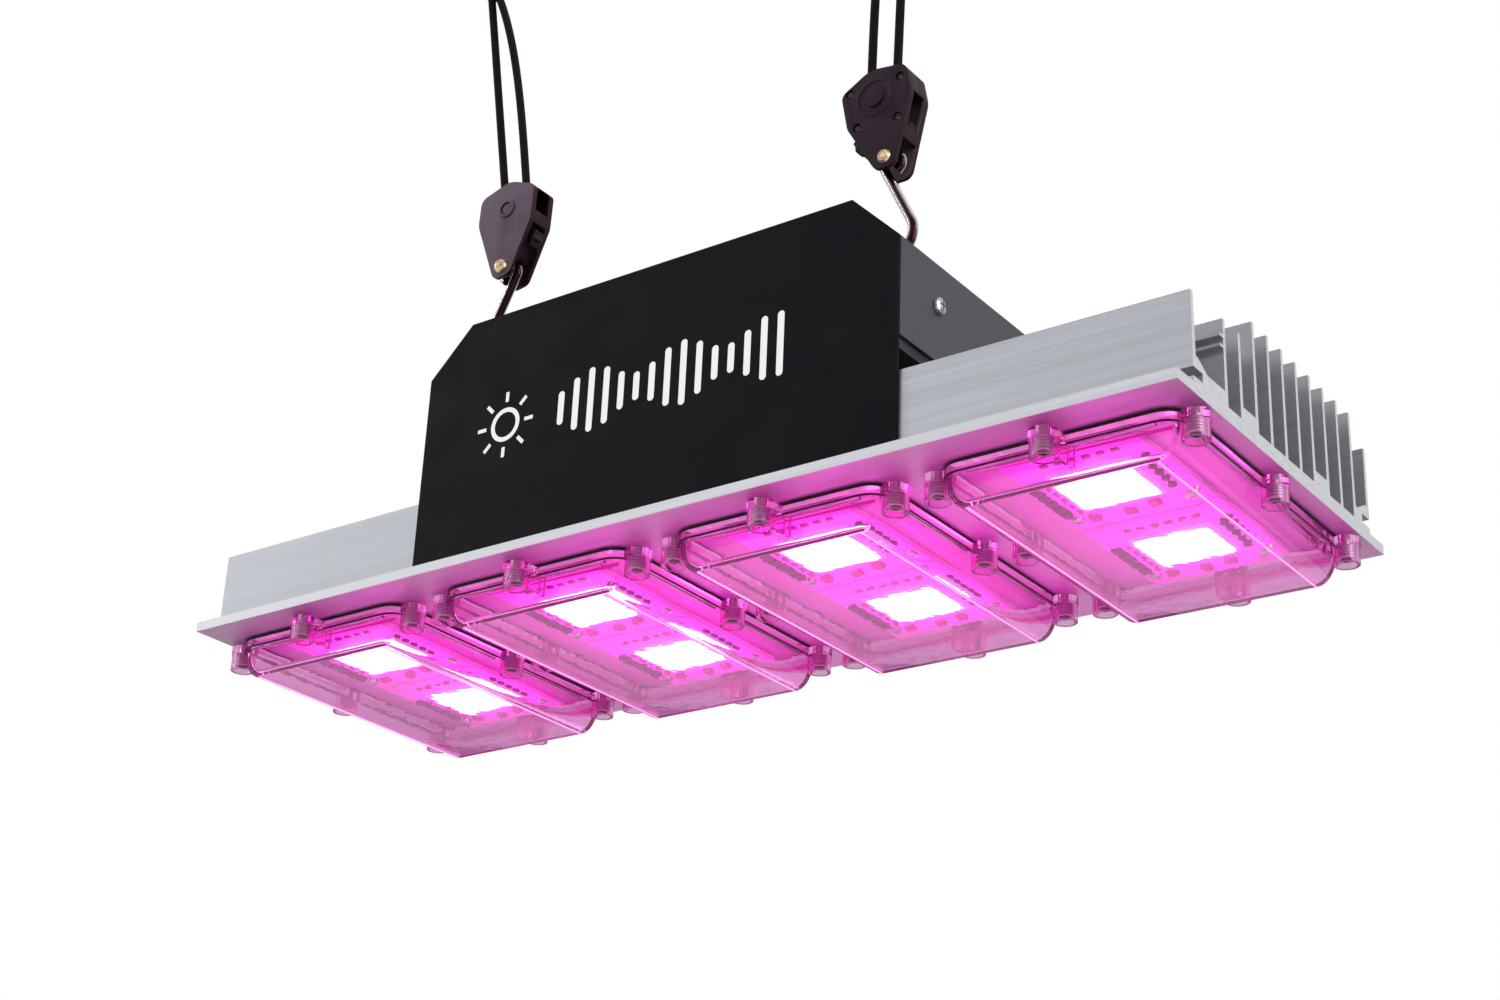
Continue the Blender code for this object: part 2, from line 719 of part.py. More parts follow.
def sheave(name, frame):
    """The rope wheel: a V groove between two flanges, free on its axle."""
    groove = STRAND - ROPE_R - 0.25
    bore = AXLE_R + 0.1
    rim = SHEAVE_HALF - 0.7
    profile = [
        (SHEAVE_R, SHEAVE_HALF), (SHEAVE_R, rim), (groove, 2.25), (groove, -2.25),
        (SHEAVE_R, -rim), (SHEAVE_R, -SHEAVE_HALF), (bore, -SHEAVE_HALF), (bore, SHEAVE_HALF),
    ]
    finish(turned(name, profile, "Y", (AXLE[0], 0, AXLE[1]), 24), "sheave_nylon", frame, smooth=30)


def release_lever(name, frame):
    """The pawl: it turns on a pin, and its tab stands out of the side for a thumb."""
    tab = [(12.3, 17.9, 1.0), (13.2, 12.0, 1.5), (12.6, 9.8, 0.8), (14.6, 7.6, 0.8), (19.2, 14.8, 0.8)]
    nose = [(15.9, 19.2, 1.0), (16.6, 23.0, 1.0), (17.9, 28.4, 0.8), (16.4, 28.6, 0.6), (12.4, 22.6, 1.5)]
    lever = plate(name, rounded(tab + nose, 2), -3.0, 3.0, "Y")
    finish(cut(lever, cylinder(f"{name}_bore", LEVER_PIVOT, 1.35, -4, 4, "Y", 12)), "sheave_nylon", frame)


def strand_x(side):
    """Where a strand stands beside the sheave: -1 for the load strand, 1 for the free one."""
    return AXLE[0] + side * STRAND


def rope_bight(name, frame):
    """The rope inside the ratchet: down one side, under the sheave and up the other side."""
    line = [(strand_x(-1), ROPE_MOUTH), (strand_x(-1), AXLE[1] + 6)] + arc(AXLE, STRAND, 180, 360, 12)
    line += [(strand_x(1), AXLE[1] + 6), (strand_x(1), ROPE_MOUTH)]
    finish(tube(name, [(x, 0, z) for x, z in line], ROPE_R), "rope_braid", frame, smooth=60)


def loop_centre(free):
    """The middle of the rope's loop, in the rope's frame, and how far below level its neck begins."""
    half = ROPE_R + GAP / 2
    across = half + LOOP_NECK_R
    rise = math.sqrt((LOOP_R + LOOP_NECK_R) ** 2 - across ** 2)
    return (half, free + FERRULE_LONG + rise), math.degrees(math.atan2(rise, across))


def load_rope(name, free, frame):
    """The strand that carries the light: through the ferrule, over the hook's eye and back down into it."""
    centre, below = loop_centre(free)
    top = free + FERRULE_LONG
    far = 2 * centre[0]
    line = [(0, free * i / 14) for i in range(15)]
    line += arc((-LOOP_NECK_R, top), LOOP_NECK_R, 0, below, 4)
    line += arc(centre, LOOP_R, 180 + below, -below, 12)[1:]
    line += arc((far + LOOP_NECK_R, top), LOOP_NECK_R, 180 - below, 180, 4)[1:]
    line += [(far, free + 1.5)]
    finish(tube(name, [(x, 0, z) for x, z in line], ROPE_R), "rope_braid", frame, smooth=60)


def stadium(half, radius):
    """An outline of two half circles, half either side of the loop's centre line."""
    middle = ROPE_R + GAP / 2
    return arc((middle + half, 0), radius, -90, 90, 6) + arc((middle - half, 0), radius, 90, 270, 6)


def ferrule(name, free, frame):
    """The pressed sleeve that closes the rope's loop."""
    high = free + FERRULE_LONG
    body = plate(name, stadium(ROPE_R + GAP / 2, ROPE_R + 1.3), free, high, "Z")
    hole = plate(f"{name}_hole", stadium(ROPE_R + GAP / 2, ROPE_R + GAP), free - 1, high + 1, "Z")
    finish(cut(body, hole), "zinc_screw", frame, smooth=40)


def tail_rope(name, free, frame):
    """The free end: beside the load strand, then drawn in to the hitch that ties it there."""
    start = (2 * STRAND, 0)
    end = (2 * ROPE_R + 0.7, free - HITCH_DROP - GAP)
    pulls = ((start[0] + 0.6, 0.35 * end[1]), (start[0] + 0.9, 0.71 * end[1]))
    line = [start] + curve_between(start, *pulls, end, 14)
    finish(tube(name, [(x, 0, z) for x, z in line], ROPE_R), "rope_braid", frame, smooth=60)


def tail_hitch(name, free, frame):
    """The hitch of the rope's end round the load strand."""
    low = free - HITCH_DROP
    high = low + HITCH_LONG
    inner = ROPE_R + GAP
    outer = 3 * ROPE_R + 0.6
    bevel = 1.5
    profile = [
        (inner, high), (outer - bevel, high), (outer, high - bevel),
        (outer, low + bevel), (outer - bevel, low), (inner, low),
    ]
    finish(turned(name, profile, "Z", (0, 0, 0), 16), "rope_braid", frame, smooth=60)


def hook(name, frame):
    """The lower wire hook: an eye round the rivet, a leaning rod and the bowl in the housing's slot."""
    lean = math.degrees(ROD_LEAN)
    eye = arc((0, 0), EYE_R, 239, -lean, 16)
    bowl = arc(HOOK_BOWL, HOOK_BOWL_R, 180 - lean, 298, 14)
    rod = [tuple(Vector(eye[-1]).lerp(Vector(bowl[0]), t)) for t in (1 / 3, 2 / 3)]
    finish(tube(name, [(x, 0, z) for x, z in eye + rod + bowl], WIRE_R), "hook_steel", frame, smooth=60)


def top_hook(name, frame):
    """The upper wire hook, in the plane across the ropes: an eye in the rope's loop and an open bowl."""
    eye_z = TOP_EYE_R
    eye = arc((0, eye_z), TOP_EYE_R, 100, 360, 14)
    bowl_z = eye_z + TOP_NECK
    neck = curve_between(eye[-1], (TOP_EYE_R, eye_z + 6), (TOP_BOWL_R, bowl_z - 6), (TOP_BOWL_R, bowl_z), 4)
    bowl = arc((0, bowl_z), TOP_BOWL_R, 0, 205, 12)[1:]
    finish(tube(name, [(0, y, z) for y, z in eye + neck + bowl], WIRE_R), "hook_steel", frame, smooth=60)


def hanger(side, x, z, half_turns, lean, free):
    """One rope hanger. The lever-side face is the front, and the right hanger is turned to show its back."""
    place = Matrix.Translation((x, SLOT_Y, z)) @ Matrix.Rotation(math.pi * half_turns, 4, "Z")
    hook_frame = empty_at(f"{side}_hook_frame", ROOT, place)
    hook(f"{side}_hook", hook_frame)
    frame = empty_at(f"{side}_ratchet_frame", hook_frame, Matrix.Rotation(math.radians(lean), 4, "Y"))
    ratchet_shell(f"{side}_ratchet_front_shell", -1, frame)
    ratchet_shell(f"{side}_ratchet_back_shell", 1, frame)
    rivet(f"{side}_ratchet_rivet", frame)
    sheave(f"{side}_sheave", frame)
    axle_half = RATCHET_HALF - PLATE + 1.2 - GAP
    axle = cylinder(f"{side}_sheave_axle", AXLE, AXLE_R, -axle_half, axle_half, "Y", 12)
    finish(axle, "zinc_screw", frame)
    release_lever(f"{side}_release_lever", frame)
    rope_bight(f"{side}_rope_bight", frame)
    mouth = Matrix.Translation((strand_x(-1), 0, ROPE_MOUTH + GAP))
    rope = empty_at(f"{side}_rope_frame", frame, mouth @ Matrix.Rotation(ROPE_LEAN, 4, "Y"))
    load_rope(f"{side}_load_rope", free, rope)
    ferrule(f"{side}_rope_ferrule", free, rope)
    tail_rope(f"{side}_tail_rope", free, rope)
    tail_hitch(f"{side}_tail_hitch", free, rope)
    centre, below = loop_centre(free)
    pin = Matrix.Translation((centre[0], 0, centre[1] + LOOP_R - ROPE_R - GAP - WIRE_R))
    top_hook(f"{side}_top_hook", empty_at(f"{side}_top_hook_frame", rope, pin))


heat_sink()
lens_modules()
panels()
housing_cover()
chassis_tray()
end_screws()
electronics()
cable_gland()
for hanger_values in HANGERS:
    hanger(*hanger_values)
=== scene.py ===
"""The looks of the LED grow light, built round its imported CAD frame.

Shapes are made in millimetres, either in the fixture's own coordinates (X from the left end, Y from the
front edge, Z up from the heat sink's underside) or in a hanger's (origin at the rivet, X and Z in the
ratchet's face), and put in place by one matrix.
"""

import json
import math

import bmesh
import bpy
from mathutils import Matrix, Vector


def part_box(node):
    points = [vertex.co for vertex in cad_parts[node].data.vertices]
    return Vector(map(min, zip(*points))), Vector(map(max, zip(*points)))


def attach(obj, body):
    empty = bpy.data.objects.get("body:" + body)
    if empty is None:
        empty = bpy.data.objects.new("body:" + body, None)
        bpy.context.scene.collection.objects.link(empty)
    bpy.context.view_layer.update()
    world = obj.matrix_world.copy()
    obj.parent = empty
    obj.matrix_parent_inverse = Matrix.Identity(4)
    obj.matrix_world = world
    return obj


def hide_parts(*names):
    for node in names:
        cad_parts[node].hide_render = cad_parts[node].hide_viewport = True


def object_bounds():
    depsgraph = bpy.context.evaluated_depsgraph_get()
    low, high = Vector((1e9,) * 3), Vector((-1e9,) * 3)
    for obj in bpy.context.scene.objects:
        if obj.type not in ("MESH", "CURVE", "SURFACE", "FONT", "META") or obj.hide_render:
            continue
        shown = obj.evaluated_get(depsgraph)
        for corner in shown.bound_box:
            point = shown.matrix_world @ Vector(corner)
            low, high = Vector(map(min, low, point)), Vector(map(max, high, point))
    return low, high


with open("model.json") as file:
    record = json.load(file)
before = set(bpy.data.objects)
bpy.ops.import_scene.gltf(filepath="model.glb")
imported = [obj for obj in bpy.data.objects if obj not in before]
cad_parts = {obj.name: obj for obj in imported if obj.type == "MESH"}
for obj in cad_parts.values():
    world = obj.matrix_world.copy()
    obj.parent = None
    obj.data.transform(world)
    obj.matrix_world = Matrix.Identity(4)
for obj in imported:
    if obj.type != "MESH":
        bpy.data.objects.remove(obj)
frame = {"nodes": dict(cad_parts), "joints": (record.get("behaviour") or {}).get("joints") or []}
cad_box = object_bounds()

NODES = frame["nodes"]
JOINTS = {joint["name"]: joint for joint in frame["joints"]}
MM = 0.001
GAP = 0.3

LENGTH = 520.0
WIDTH = 193.3
CENTRE_Y = WIDTH / 2
FIXTURE = Matrix.Translation(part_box("heat_sink")[0]) @ Matrix.Scale(MM, 4)

# Lens modules, measured from a module's centre
MODULES = 4
MODULE_PITCH = 132.0
FLANGE_X = 106.0
FLANGE_Y = 156.0
FLANGE_TOP = -1.6
FLANGE_LOW = -5.4
DOME_Y = 148.0
DOME_FOOT = 51.0
WINDOW_HALF = 41.5
WINDOW_Z = -19.0
LENS_WALL = 2.6
END_ROUNDING = 2.2
BOSS_R = 5.6
BOSS_LOW = -13.0
WELL_R = 4.3
WELL_TOP = -5.0
SIDE_BOSS = (56.0, 70.0)
END_BOSS_Y = 85.2
BOARD_PITCH = 69.0
BOARD_FACE = -3.3

# Hangers, in a hanger's own coordinates
ROPE_R = 1.9
WIRE_R = 2.0
RATCHET_HALF = 7.5
PLATE = 2.0
AXLE = (5.3, 31.7)
STRAND = 6.8
ROPE_MOUTH = 46.0
ROPE_LEAN = math.radians(-1.6)
FERRULE_LONG = 10.0
LOOP_R = 7.8
LOOP_NECK_R = 8.0
HITCH_DROP = 18.0
HOOK_BOWL = (1.2, -36.0)
HOOK_BOWL_R = 12.0
EYE_R = 4.6
ROD_LEAN = 25.5
TOP_EYE_R = 5.0
TOP_BOWL_R = 9.0
TOP_NECK = 16.0

SHELL_SCREWS = ((18.6, 38.3), (-7.6, 38.8), (-6.5, 18.3), (14.4, 19.4))

# Each hanger: its name, half turns about Z, its ratchet's lean in degrees and its rope's free length
HANGERS = (("left", 0, -8.6, 148.0), ("right", 1, 0.0, 156.0))

# The camera's place in the fixture's own coordinates, the way its right and top point, and its lens
CAMERA_PLACE = (860.84, -715.75, -400.75)
CAMERA_RIGHT = (0.812155, 0.582142, 0.038935)
CAMERA_UP = (0.207398, -0.350430, 0.913337)
CAMERA_LENS = 57.634

PANEL_FACE = 11.9
PANEL_ROUNDING = 0.35
LONG_WAY = 7.5
TRAPPED_LIGHT = (0.70, 0.07, 0.40)


# ---------------------------------------------------------------- camera


def camera():
    """The viewpoint: in front of the right end and below it, looking up at the lenses."""
    data = bpy.data.cameras.new("camera")
    data.sensor_width = 36.0
    data.lens = CAMERA_LENS
    obj = bpy.data.objects.new("camera", data)
    bpy.context.scene.collection.objects.link(obj)
    right, up = Vector(CAMERA_RIGHT), Vector(CAMERA_UP)
    back = right.cross(up)
    turn = Matrix((right, up, back)).transposed().to_4x4()
    obj.matrix_world = Matrix.Translation(FIXTURE @ Vector(CAMERA_PLACE)) @ turn
    data.clip_start = 0.05
    data.clip_end = 50.0
    bpy.context.scene.camera = obj


# ---------------------------------------------------------------- shape helpers


def mesh_object(name, bm):
    bmesh.ops.recalc_face_normals(bm, faces=bm.faces)
    mesh = bpy.data.meshes.new(name)
    bm.to_mesh(mesh)
    bm.free()
    obj = bpy.data.objects.new(name, mesh)
    bpy.context.scene.collection.objects.link(obj)
    return obj


def apply_modifiers(obj):
    graph = bpy.context.evaluated_depsgraph_get()
    mesh = bpy.data.meshes.new_from_object(obj.evaluated_get(graph))
    obj.modifiers.clear()
    obj.data = mesh


def boolean(obj, operation, others):
    """Cuts the others from obj, or joins them to it, and merges the flat faces that this splits."""
    for other in others:
        step = obj.modifiers.new(other.name, "BOOLEAN")
        step.operation = operation
        step.solver = "EXACT"
        step.object = other
    apply_modifiers(obj)
    bm = bmesh.new()
    bm.from_mesh(obj.data)
    bmesh.ops.dissolve_limit(bm, angle_limit=math.radians(0.3), verts=bm.verts, edges=bm.edges)
    bm.to_mesh(obj.data)
    bm.free()
    for other in others:
        bpy.data.objects.remove(other, do_unlink=True)
    return obj


def cut(obj, *others):
    return boolean(obj, "DIFFERENCE", others)


def join(obj, *others):
    return boolean(obj, "UNION", others)


def merged(name, objects):
    """Several closed shapes as one mesh, each left whole."""
    bm = bmesh.new()
    for obj in objects:
        bm.from_mesh(obj.data)
        bpy.data.objects.remove(obj, do_unlink=True)
    return mesh_object(name, bm)


def show(obj, paint, body, place=FIXTURE, smooth=40, bevel=0.0, segments=2):
    """Puts a finished shape in place: rounded edges, material, and the body that it rides on."""
    if bevel:
        edges = obj.modifiers.new("edges", "BEVEL")
        edges.width = bevel
        edges.segments = segments
        edges.angle_limit = math.radians(30)
        apply_modifiers(obj)
    obj.data.transform(place)
    obj.data.materials.clear()
    obj.data.materials.append(paint)
    obj.data.shade_smooth()
    obj.data.set_sharp_from_angle(angle=math.radians(smooth))
    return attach(obj, body)


def box(name, low, high):
    bm = bmesh.new()
    low, high = Vector(low), Vector(high)
    size = Matrix.Diagonal((*(high - low), 1.0))
    bmesh.ops.create_cube(bm, size=1.0, matrix=Matrix.Translation((low + high) / 2) @ size)
    return mesh_object(name, bm)


# How a flat outline, and then a turned profile, are laid along each axis
TURN = {
    "X": Matrix(((0, 0, 1), (1, 0, 0), (0, 1, 0))).to_4x4(),
    "Y": Matrix(((1, 0, 0), (0, 0, -1), (0, 1, 0))).to_4x4(),
    "Z": Matrix.Identity(4),
}
AIM = {**TURN, "Y": Matrix(((1, 0, 0), (0, 0, 1), (0, -1, 0))).to_4x4()}


def mesh_of_curve(name, curve, matrix):
    source = bpy.data.objects.new(name, curve)
    bpy.context.scene.collection.objects.link(source)
    graph = bpy.context.evaluated_depsgraph_get()
    mesh = bpy.data.meshes.new_from_object(source.evaluated_get(graph))
    bpy.data.objects.remove(source, do_unlink=True)
    bm = bmesh.new()
    bm.from_mesh(mesh)
    bmesh.ops.transform(bm, matrix=matrix, verts=bm.verts)
    bmesh.ops.remove_doubles(bm, verts=bm.verts, dist=0.001)
    return mesh_object(name, bm)


def plate(name, outline, low, high, axis):
    """A flat outline given thickness along an axis, from low to high."""
    flat = bpy.data.curves.new(name, "CURVE")
    flat.dimensions = "2D"
    flat.fill_mode = "BOTH"
    flat.extrude = (high - low) / 2
    line = flat.splines.new("POLY")
    line.points.add(len(outline) - 1)
    for point, (u, v) in zip(line.points, outline):
        point.co = (u, v, 0, 1)
    line.use_cyclic_u = True
    middle = (low + high) / 2
    depth = -middle if axis == "Y" else middle
    return mesh_of_curve(name, flat, TURN[axis] @ Matrix.Translation((0, 0, depth)))


def turned(name, profile, axis, place, sides=32):
    """A closed profile of (radius, height) points turned about an axis through place."""
    bm = bmesh.new()
    ring = [bm.verts.new((radius, 0, height)) for radius, height in profile]
    for i, corner in enumerate(ring):
        bm.edges.new((corner, ring[(i + 1) % len(ring)]))
    bmesh.ops.spin(
        bm, geom=bm.verts[:] + bm.edges[:], cent=(0, 0, 0), axis=(0, 0, 1), angle=math.tau, steps=sides,
        use_merge=True, use_duplicate=False,
    )
    bmesh.ops.remove_doubles(bm, verts=bm.verts, dist=0.0005)
    bmesh.ops.delete(bm, geom=[edge for edge in bm.edges if not edge.link_faces], context="EDGES")
    bmesh.ops.transform(bm, matrix=Matrix.Translation(place) @ AIM[axis], verts=bm.verts)
    return mesh_object(name, bm)


def round_bar(name, radius, low, high, axis, place, sides=24):
    """A round bar along an axis, from low to high."""
    return turned(name, [(0, high), (radius, high), (radius, low), (0, low)], axis, place, sides)


def arc(centre, radius, start, end, steps):
    """Points on an arc, angles in degrees from the first axis towards the second."""
    angles = [math.radians(start + (end - start) * i / steps) for i in range(steps + 1)]
    return [(centre[0] + radius * math.cos(a), centre[1] + radius * math.sin(a)) for a in angles]


def rounded(corners, steps=6):
    """A polygon of (x, y, radius) corners with each corner rounded by an arc."""
    made = []
    for i, (x, y, radius) in enumerate(corners):
        here = Vector((x, y))
        before = (Vector(corners[i - 1][:2]) - here).normalized()
        after = (Vector(corners[(i + 1) % len(corners)][:2]) - here).normalized()
        half = before.angle(after) / 2
        centre = here + (before + after).normalized() * radius / math.sin(half)
        start = here + before * radius / math.tan(half) - centre
        end = here + after * radius / math.tan(half) - centre
        sweep = start.angle_signed(end)
        for k in range(steps + 1):
            turn = Matrix.Rotation(-sweep * k / steps, 2)
            made.append(tuple(centre + turn @ start))
    return made


def rectangle(half_x, half_y, radius, centre=(0.0, 0.0), steps=6):
    signs = ((-1, -1), (1, -1), (1, 1), (-1, 1))
    return rounded([(centre[0] + sx * half_x, centre[1] + sy * half_y, radius) for sx, sy in signs], steps)


def curve_between(start, start_pull, end_pull, end, steps):
    """Points of a cubic Bezier curve, without its first point."""
    made = []
    for i in range(1, steps + 1):
        t = i / steps
        weights = ((1 - t) ** 3, 3 * t * (1 - t) ** 2, 3 * t * t * (1 - t), t ** 3)
        corners = (start, start_pull, end_pull, end)
        made.append(tuple(sum(w * p[k] for w, p in zip(weights, corners)) for k in range(len(start))))
    return made


def evenly_spaced(points, step):
    """Points a step apart along a smooth curve through the given ones."""
    points = [Vector(p) for p in points]
    padded = [2 * points[0] - points[1], *points, 2 * points[-1] - points[-2]]
    fine = [points[0]]
    for i in range(1, len(padded) - 2):
        a, b, c, d = padded[i - 1:i + 3]
        for k in range(1, 13):
            t = k / 12
            square = (2 * a - 5 * b + 4 * c - d) * t * t
            cube = (3 * b - a - 3 * c + d) * t ** 3
            fine.append(0.5 * (2 * b + (c - a) * t + square + cube))
    made, travelled = [fine[0]], 0.0
    for before, after in zip(fine, fine[1:]):
        span = (after - before).length
        while span > 0 and travelled + span >= step:
            before = before.lerp(after, (step - travelled) / span)
            made.append(before)
            span = (after - before).length
            travelled = 0.0
        travelled += span
    if (fine[-1] - made[-1]).length > step * 0.3:
        made.append(fine[-1])
    return made


def sweep(name, points, step, sides, radius_at):
    """A closed tube along a smooth curve; radius_at gives its radius at an angle and a distance along."""
    line = evenly_spaced(points, step)
    bm = bmesh.new()
    normal, rings = None, []
    for i, here in enumerate(line):
        along = (line[min(i + 1, len(line) - 1)] - line[max(i - 1, 0)]).normalized()
        if normal is None:
            normal = along.orthogonal()
        normal = (normal - along * normal.dot(along)).normalized()
        across = along.cross(normal)
        ring = []
        for k in range(sides):
            angle = math.tau * k / sides
            radius = radius_at(angle, i * step)
            ring.append(bm.verts.new(here + radius * (math.cos(angle) * normal + math.sin(angle) * across)))
        rings.append(ring)
    for before, after in zip(rings, rings[1:]):
        for k in range(sides):
            bm.faces.new((before[k], before[(k + 1) % sides], after[(k + 1) % sides], after[k]))
    bm.faces.new(rings[0])
    bm.faces.new(rings[-1])
    return mesh_object(name, bm)


def wire(name, points, radius=WIRE_R):
    return sweep(name, points, 0.9, 20, lambda angle, along: radius)


def braid_radius(angle, along):
    """The surface of an eight-strand braid: two sets of ridges that cross."""
    turn = along * 1.05
    ridge = max(math.cos(3 * angle + turn) ** 2, math.cos(3 * angle - turn) ** 2)
    return ROPE_R * (0.99 + 0.09 * ridge)


def rope(name, points):
    return sweep(name, points, 0.5, 24, braid_radius)


# ---------------------------------------------------------------- materials


def material(name, colour, roughness, metallic=0.0, **inputs):
    """A Principled material; further inputs go by their socket names with _ for spaces."""
    made = bpy.data.materials.new(name)
    made.use_nodes = True
    shader = made.node_tree.nodes["Principled BSDF"]
    shader.inputs["Base Color"].default_value = (*colour, 1.0)
    shader.inputs["Roughness"].default_value = roughness
    shader.inputs["Metallic"].default_value = metallic
    for socket, value in inputs.items():
        shader.inputs[socket.replace("_", " ")].default_value = value
    return made


def add_node(mat, kind, links=(), **settings):
    """A node with its settings by name and its inputs linked or set by (input, value or socket) pairs."""
    node = mat.node_tree.nodes.new(kind)
    for key, value in settings.items():
        setattr(node, key, value)
    for key, value in links:
        if isinstance(value, bpy.types.NodeSocket):
            mat.node_tree.links.new(value, node.inputs[key])
        else:
            node.inputs[key].default_value = value
    return node


def place_of(mat, stretch=(1.0, 1.0, 1.0)):
    """The frame's coordinates, stretched."""
    where = add_node(mat, "ShaderNodeTexCoord").outputs["Object"]
    return add_node(mat, "ShaderNodeMapping", [("Vector", where), ("Scale", stretch)]).outputs["Vector"]


def noise(mat, where, scale, detail=3.0, rough=0.55):
    links = [("Vector", where), ("Scale", scale), ("Detail", detail), ("Roughness", rough)]
    return add_node(mat, "ShaderNodeTexNoise", links).outputs["Fac"]


def spread(mat, value, low, high, start=0.3, end=0.7):
    """A value's range from start to end mapped to low to high."""
    links = [("Value", value), ("From Min", start), ("From Max", end), ("To Min", low), ("To Max", high)]
    return add_node(mat, "ShaderNodeMapRange", links).outputs["Result"]


def tint(mat, value, dark, light):
    """A colour between dark and light."""
    links = [(0, value), (6, (*dark, 1.0)), (7, (*light, 1.0))]
    return add_node(mat, "ShaderNodeMix", links, data_type="RGBA").outputs[2]


def drive(mat, **sockets):
    """Links sockets to the material's Principled inputs."""
    shader = mat.node_tree.nodes["Principled BSDF"]
    for key, value in sockets.items():
        mat.node_tree.links.new(value, shader.inputs[key.replace("_", " ")])


def bump(mat, height, strength, distance):
    links = [("Height", height), ("Strength", strength), ("Distance", distance)]
    return add_node(mat, "ShaderNodeBump", links).outputs["Normal"]


def textured(
    name, colour, roughness, metallic=0.0, scale=2500.0, depth=0.00004, vary=0.12, stretch=(1, 1, 1), **more
):
    """A surface with fine grain in its height and slow changes in its colour and gloss."""
    mat = material(name, colour, roughness, metallic, **more)
    grain = noise(mat, place_of(mat, stretch), scale)
    cloud = noise(mat, place_of(mat), 38.0)
    dark = [c * (1 - vary) for c in colour]
    light = [min(c * (1 + vary), 1.0) for c in colour]
    drive(
        mat,
        Base_Color=tint(mat, spread(mat, cloud, 0.0, 1.0), dark, light),
        Roughness=spread(mat, cloud, roughness * 0.88, min(roughness * 1.15, 1.0)),
        Normal=bump(mat, grain, 0.6, depth),
    )
    return mat


def math_node(mat, operation, *values):
    return add_node(mat, "ShaderNodeMath", list(enumerate(values)), operation=operation).outputs[0]


def mix_colours(mat, share, first, second):
    return add_node(mat, "ShaderNodeMix", [(0, share), (6, first), (7, second)], data_type="RGBA").outputs[2]


def mix_values(mat, share, first, second):
    return add_node(mat, "ShaderNodeMix", [(0, share), (2, first), (3, second)]).outputs[0]


def emission(mat, colour, strength):
    return add_node(mat, "ShaderNodeEmission", [("Color", (*colour, 1)), ("Strength", strength)]).outputs[0]


def aluminium(name, colour):
    """Extruded aluminium: fine lines along X, pale sawn ends, a front face painted paler as painted light,
    and painted shade on the walls between the fins.
    """
    mat = material(name, colour, 0.36, 0.9)
    lines = noise(mat, place_of(mat, (0.012, 1.0, 1.0)), 900.0, 4.0, 0.65)
    bands = noise(mat, place_of(mat, (0.004, 1.0, 1.0)), 420.0, 2.0)
    saw = noise(mat, place_of(mat, (1.0, 0.12, 1.0)), 1400.0, 2.0)
    normal = add_node(mat, "ShaderNodeNewGeometry").outputs["True Normal"]
    facing = add_node(mat, "ShaderNodeSeparateXYZ", [(0, normal)]).outputs
    where = add_node(mat, "ShaderNodeSeparateXYZ", [(0, place_of(mat))]).outputs
    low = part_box("heat_sink")[0]
    is_end = math_node(mat, "GREATER_THAN", math_node(mat, "ABSOLUTE", facing["X"]), 0.7)
    # Painted shade: upright fin walls behind the front wall and above the base get a darker colour and less
    # metal shine.
    behind = math_node(mat, "GREATER_THAN", where["Y"], low.y + 15.5 * MM)
    above = math_node(mat, "GREATER_THAN", where["Z"], low.z + 6.5 * MM)
    upright = math_node(mat, "GREATER_THAN", math_node(mat, "ABSOLUTE", facing["Y"]), 0.7)
    inner = math_node(mat, "MULTIPLY", math_node(mat, "MULTIPLY", behind, above), upright)
    under = math_node(mat, "GREATER_THAN", math_node(mat, "MULTIPLY", facing["Z"], -1.0), 0.7)
    side = tint(mat, spread(mat, bands, 0.0, 1.0), [c * 0.9 for c in colour], colour)
    # Painted light: the front face gets a paler colour, standing for the light falling on it.
    painted_light_front = math_node(mat, "LESS_THAN", where["Y"], low.y + 0.6 * MM)
    side = mix_colours(mat, painted_light_front, side, (0.73, 0.74, 0.76, 1.0))
    painted_fin_shade = tint(mat, spread(mat, lines, 0.0, 1.0), (0.45, 0.46, 0.48), (0.58, 0.59, 0.61))
    end = tint(mat, spread(mat, saw, 0.0, 1.0), (0.74, 0.75, 0.76), (0.92, 0.93, 0.94))
    shine = mix_values(mat, is_end, mix_values(mat, math_node(mat, "MAXIMUM", inner, under), 0.9, 0.35), 0.2)
    drive(
        mat,
        Base_Color=mix_colours(mat, is_end, mix_colours(mat, inner, side, painted_fin_shade), end),
        Roughness=mix_values(mat, is_end, spread(mat, lines, 0.36, 0.5), 0.6),
        Metallic=shine,
        Normal=bump(mat, mix_values(mat, is_end, lines, saw), 0.4, 0.00003),
    )
    return mat


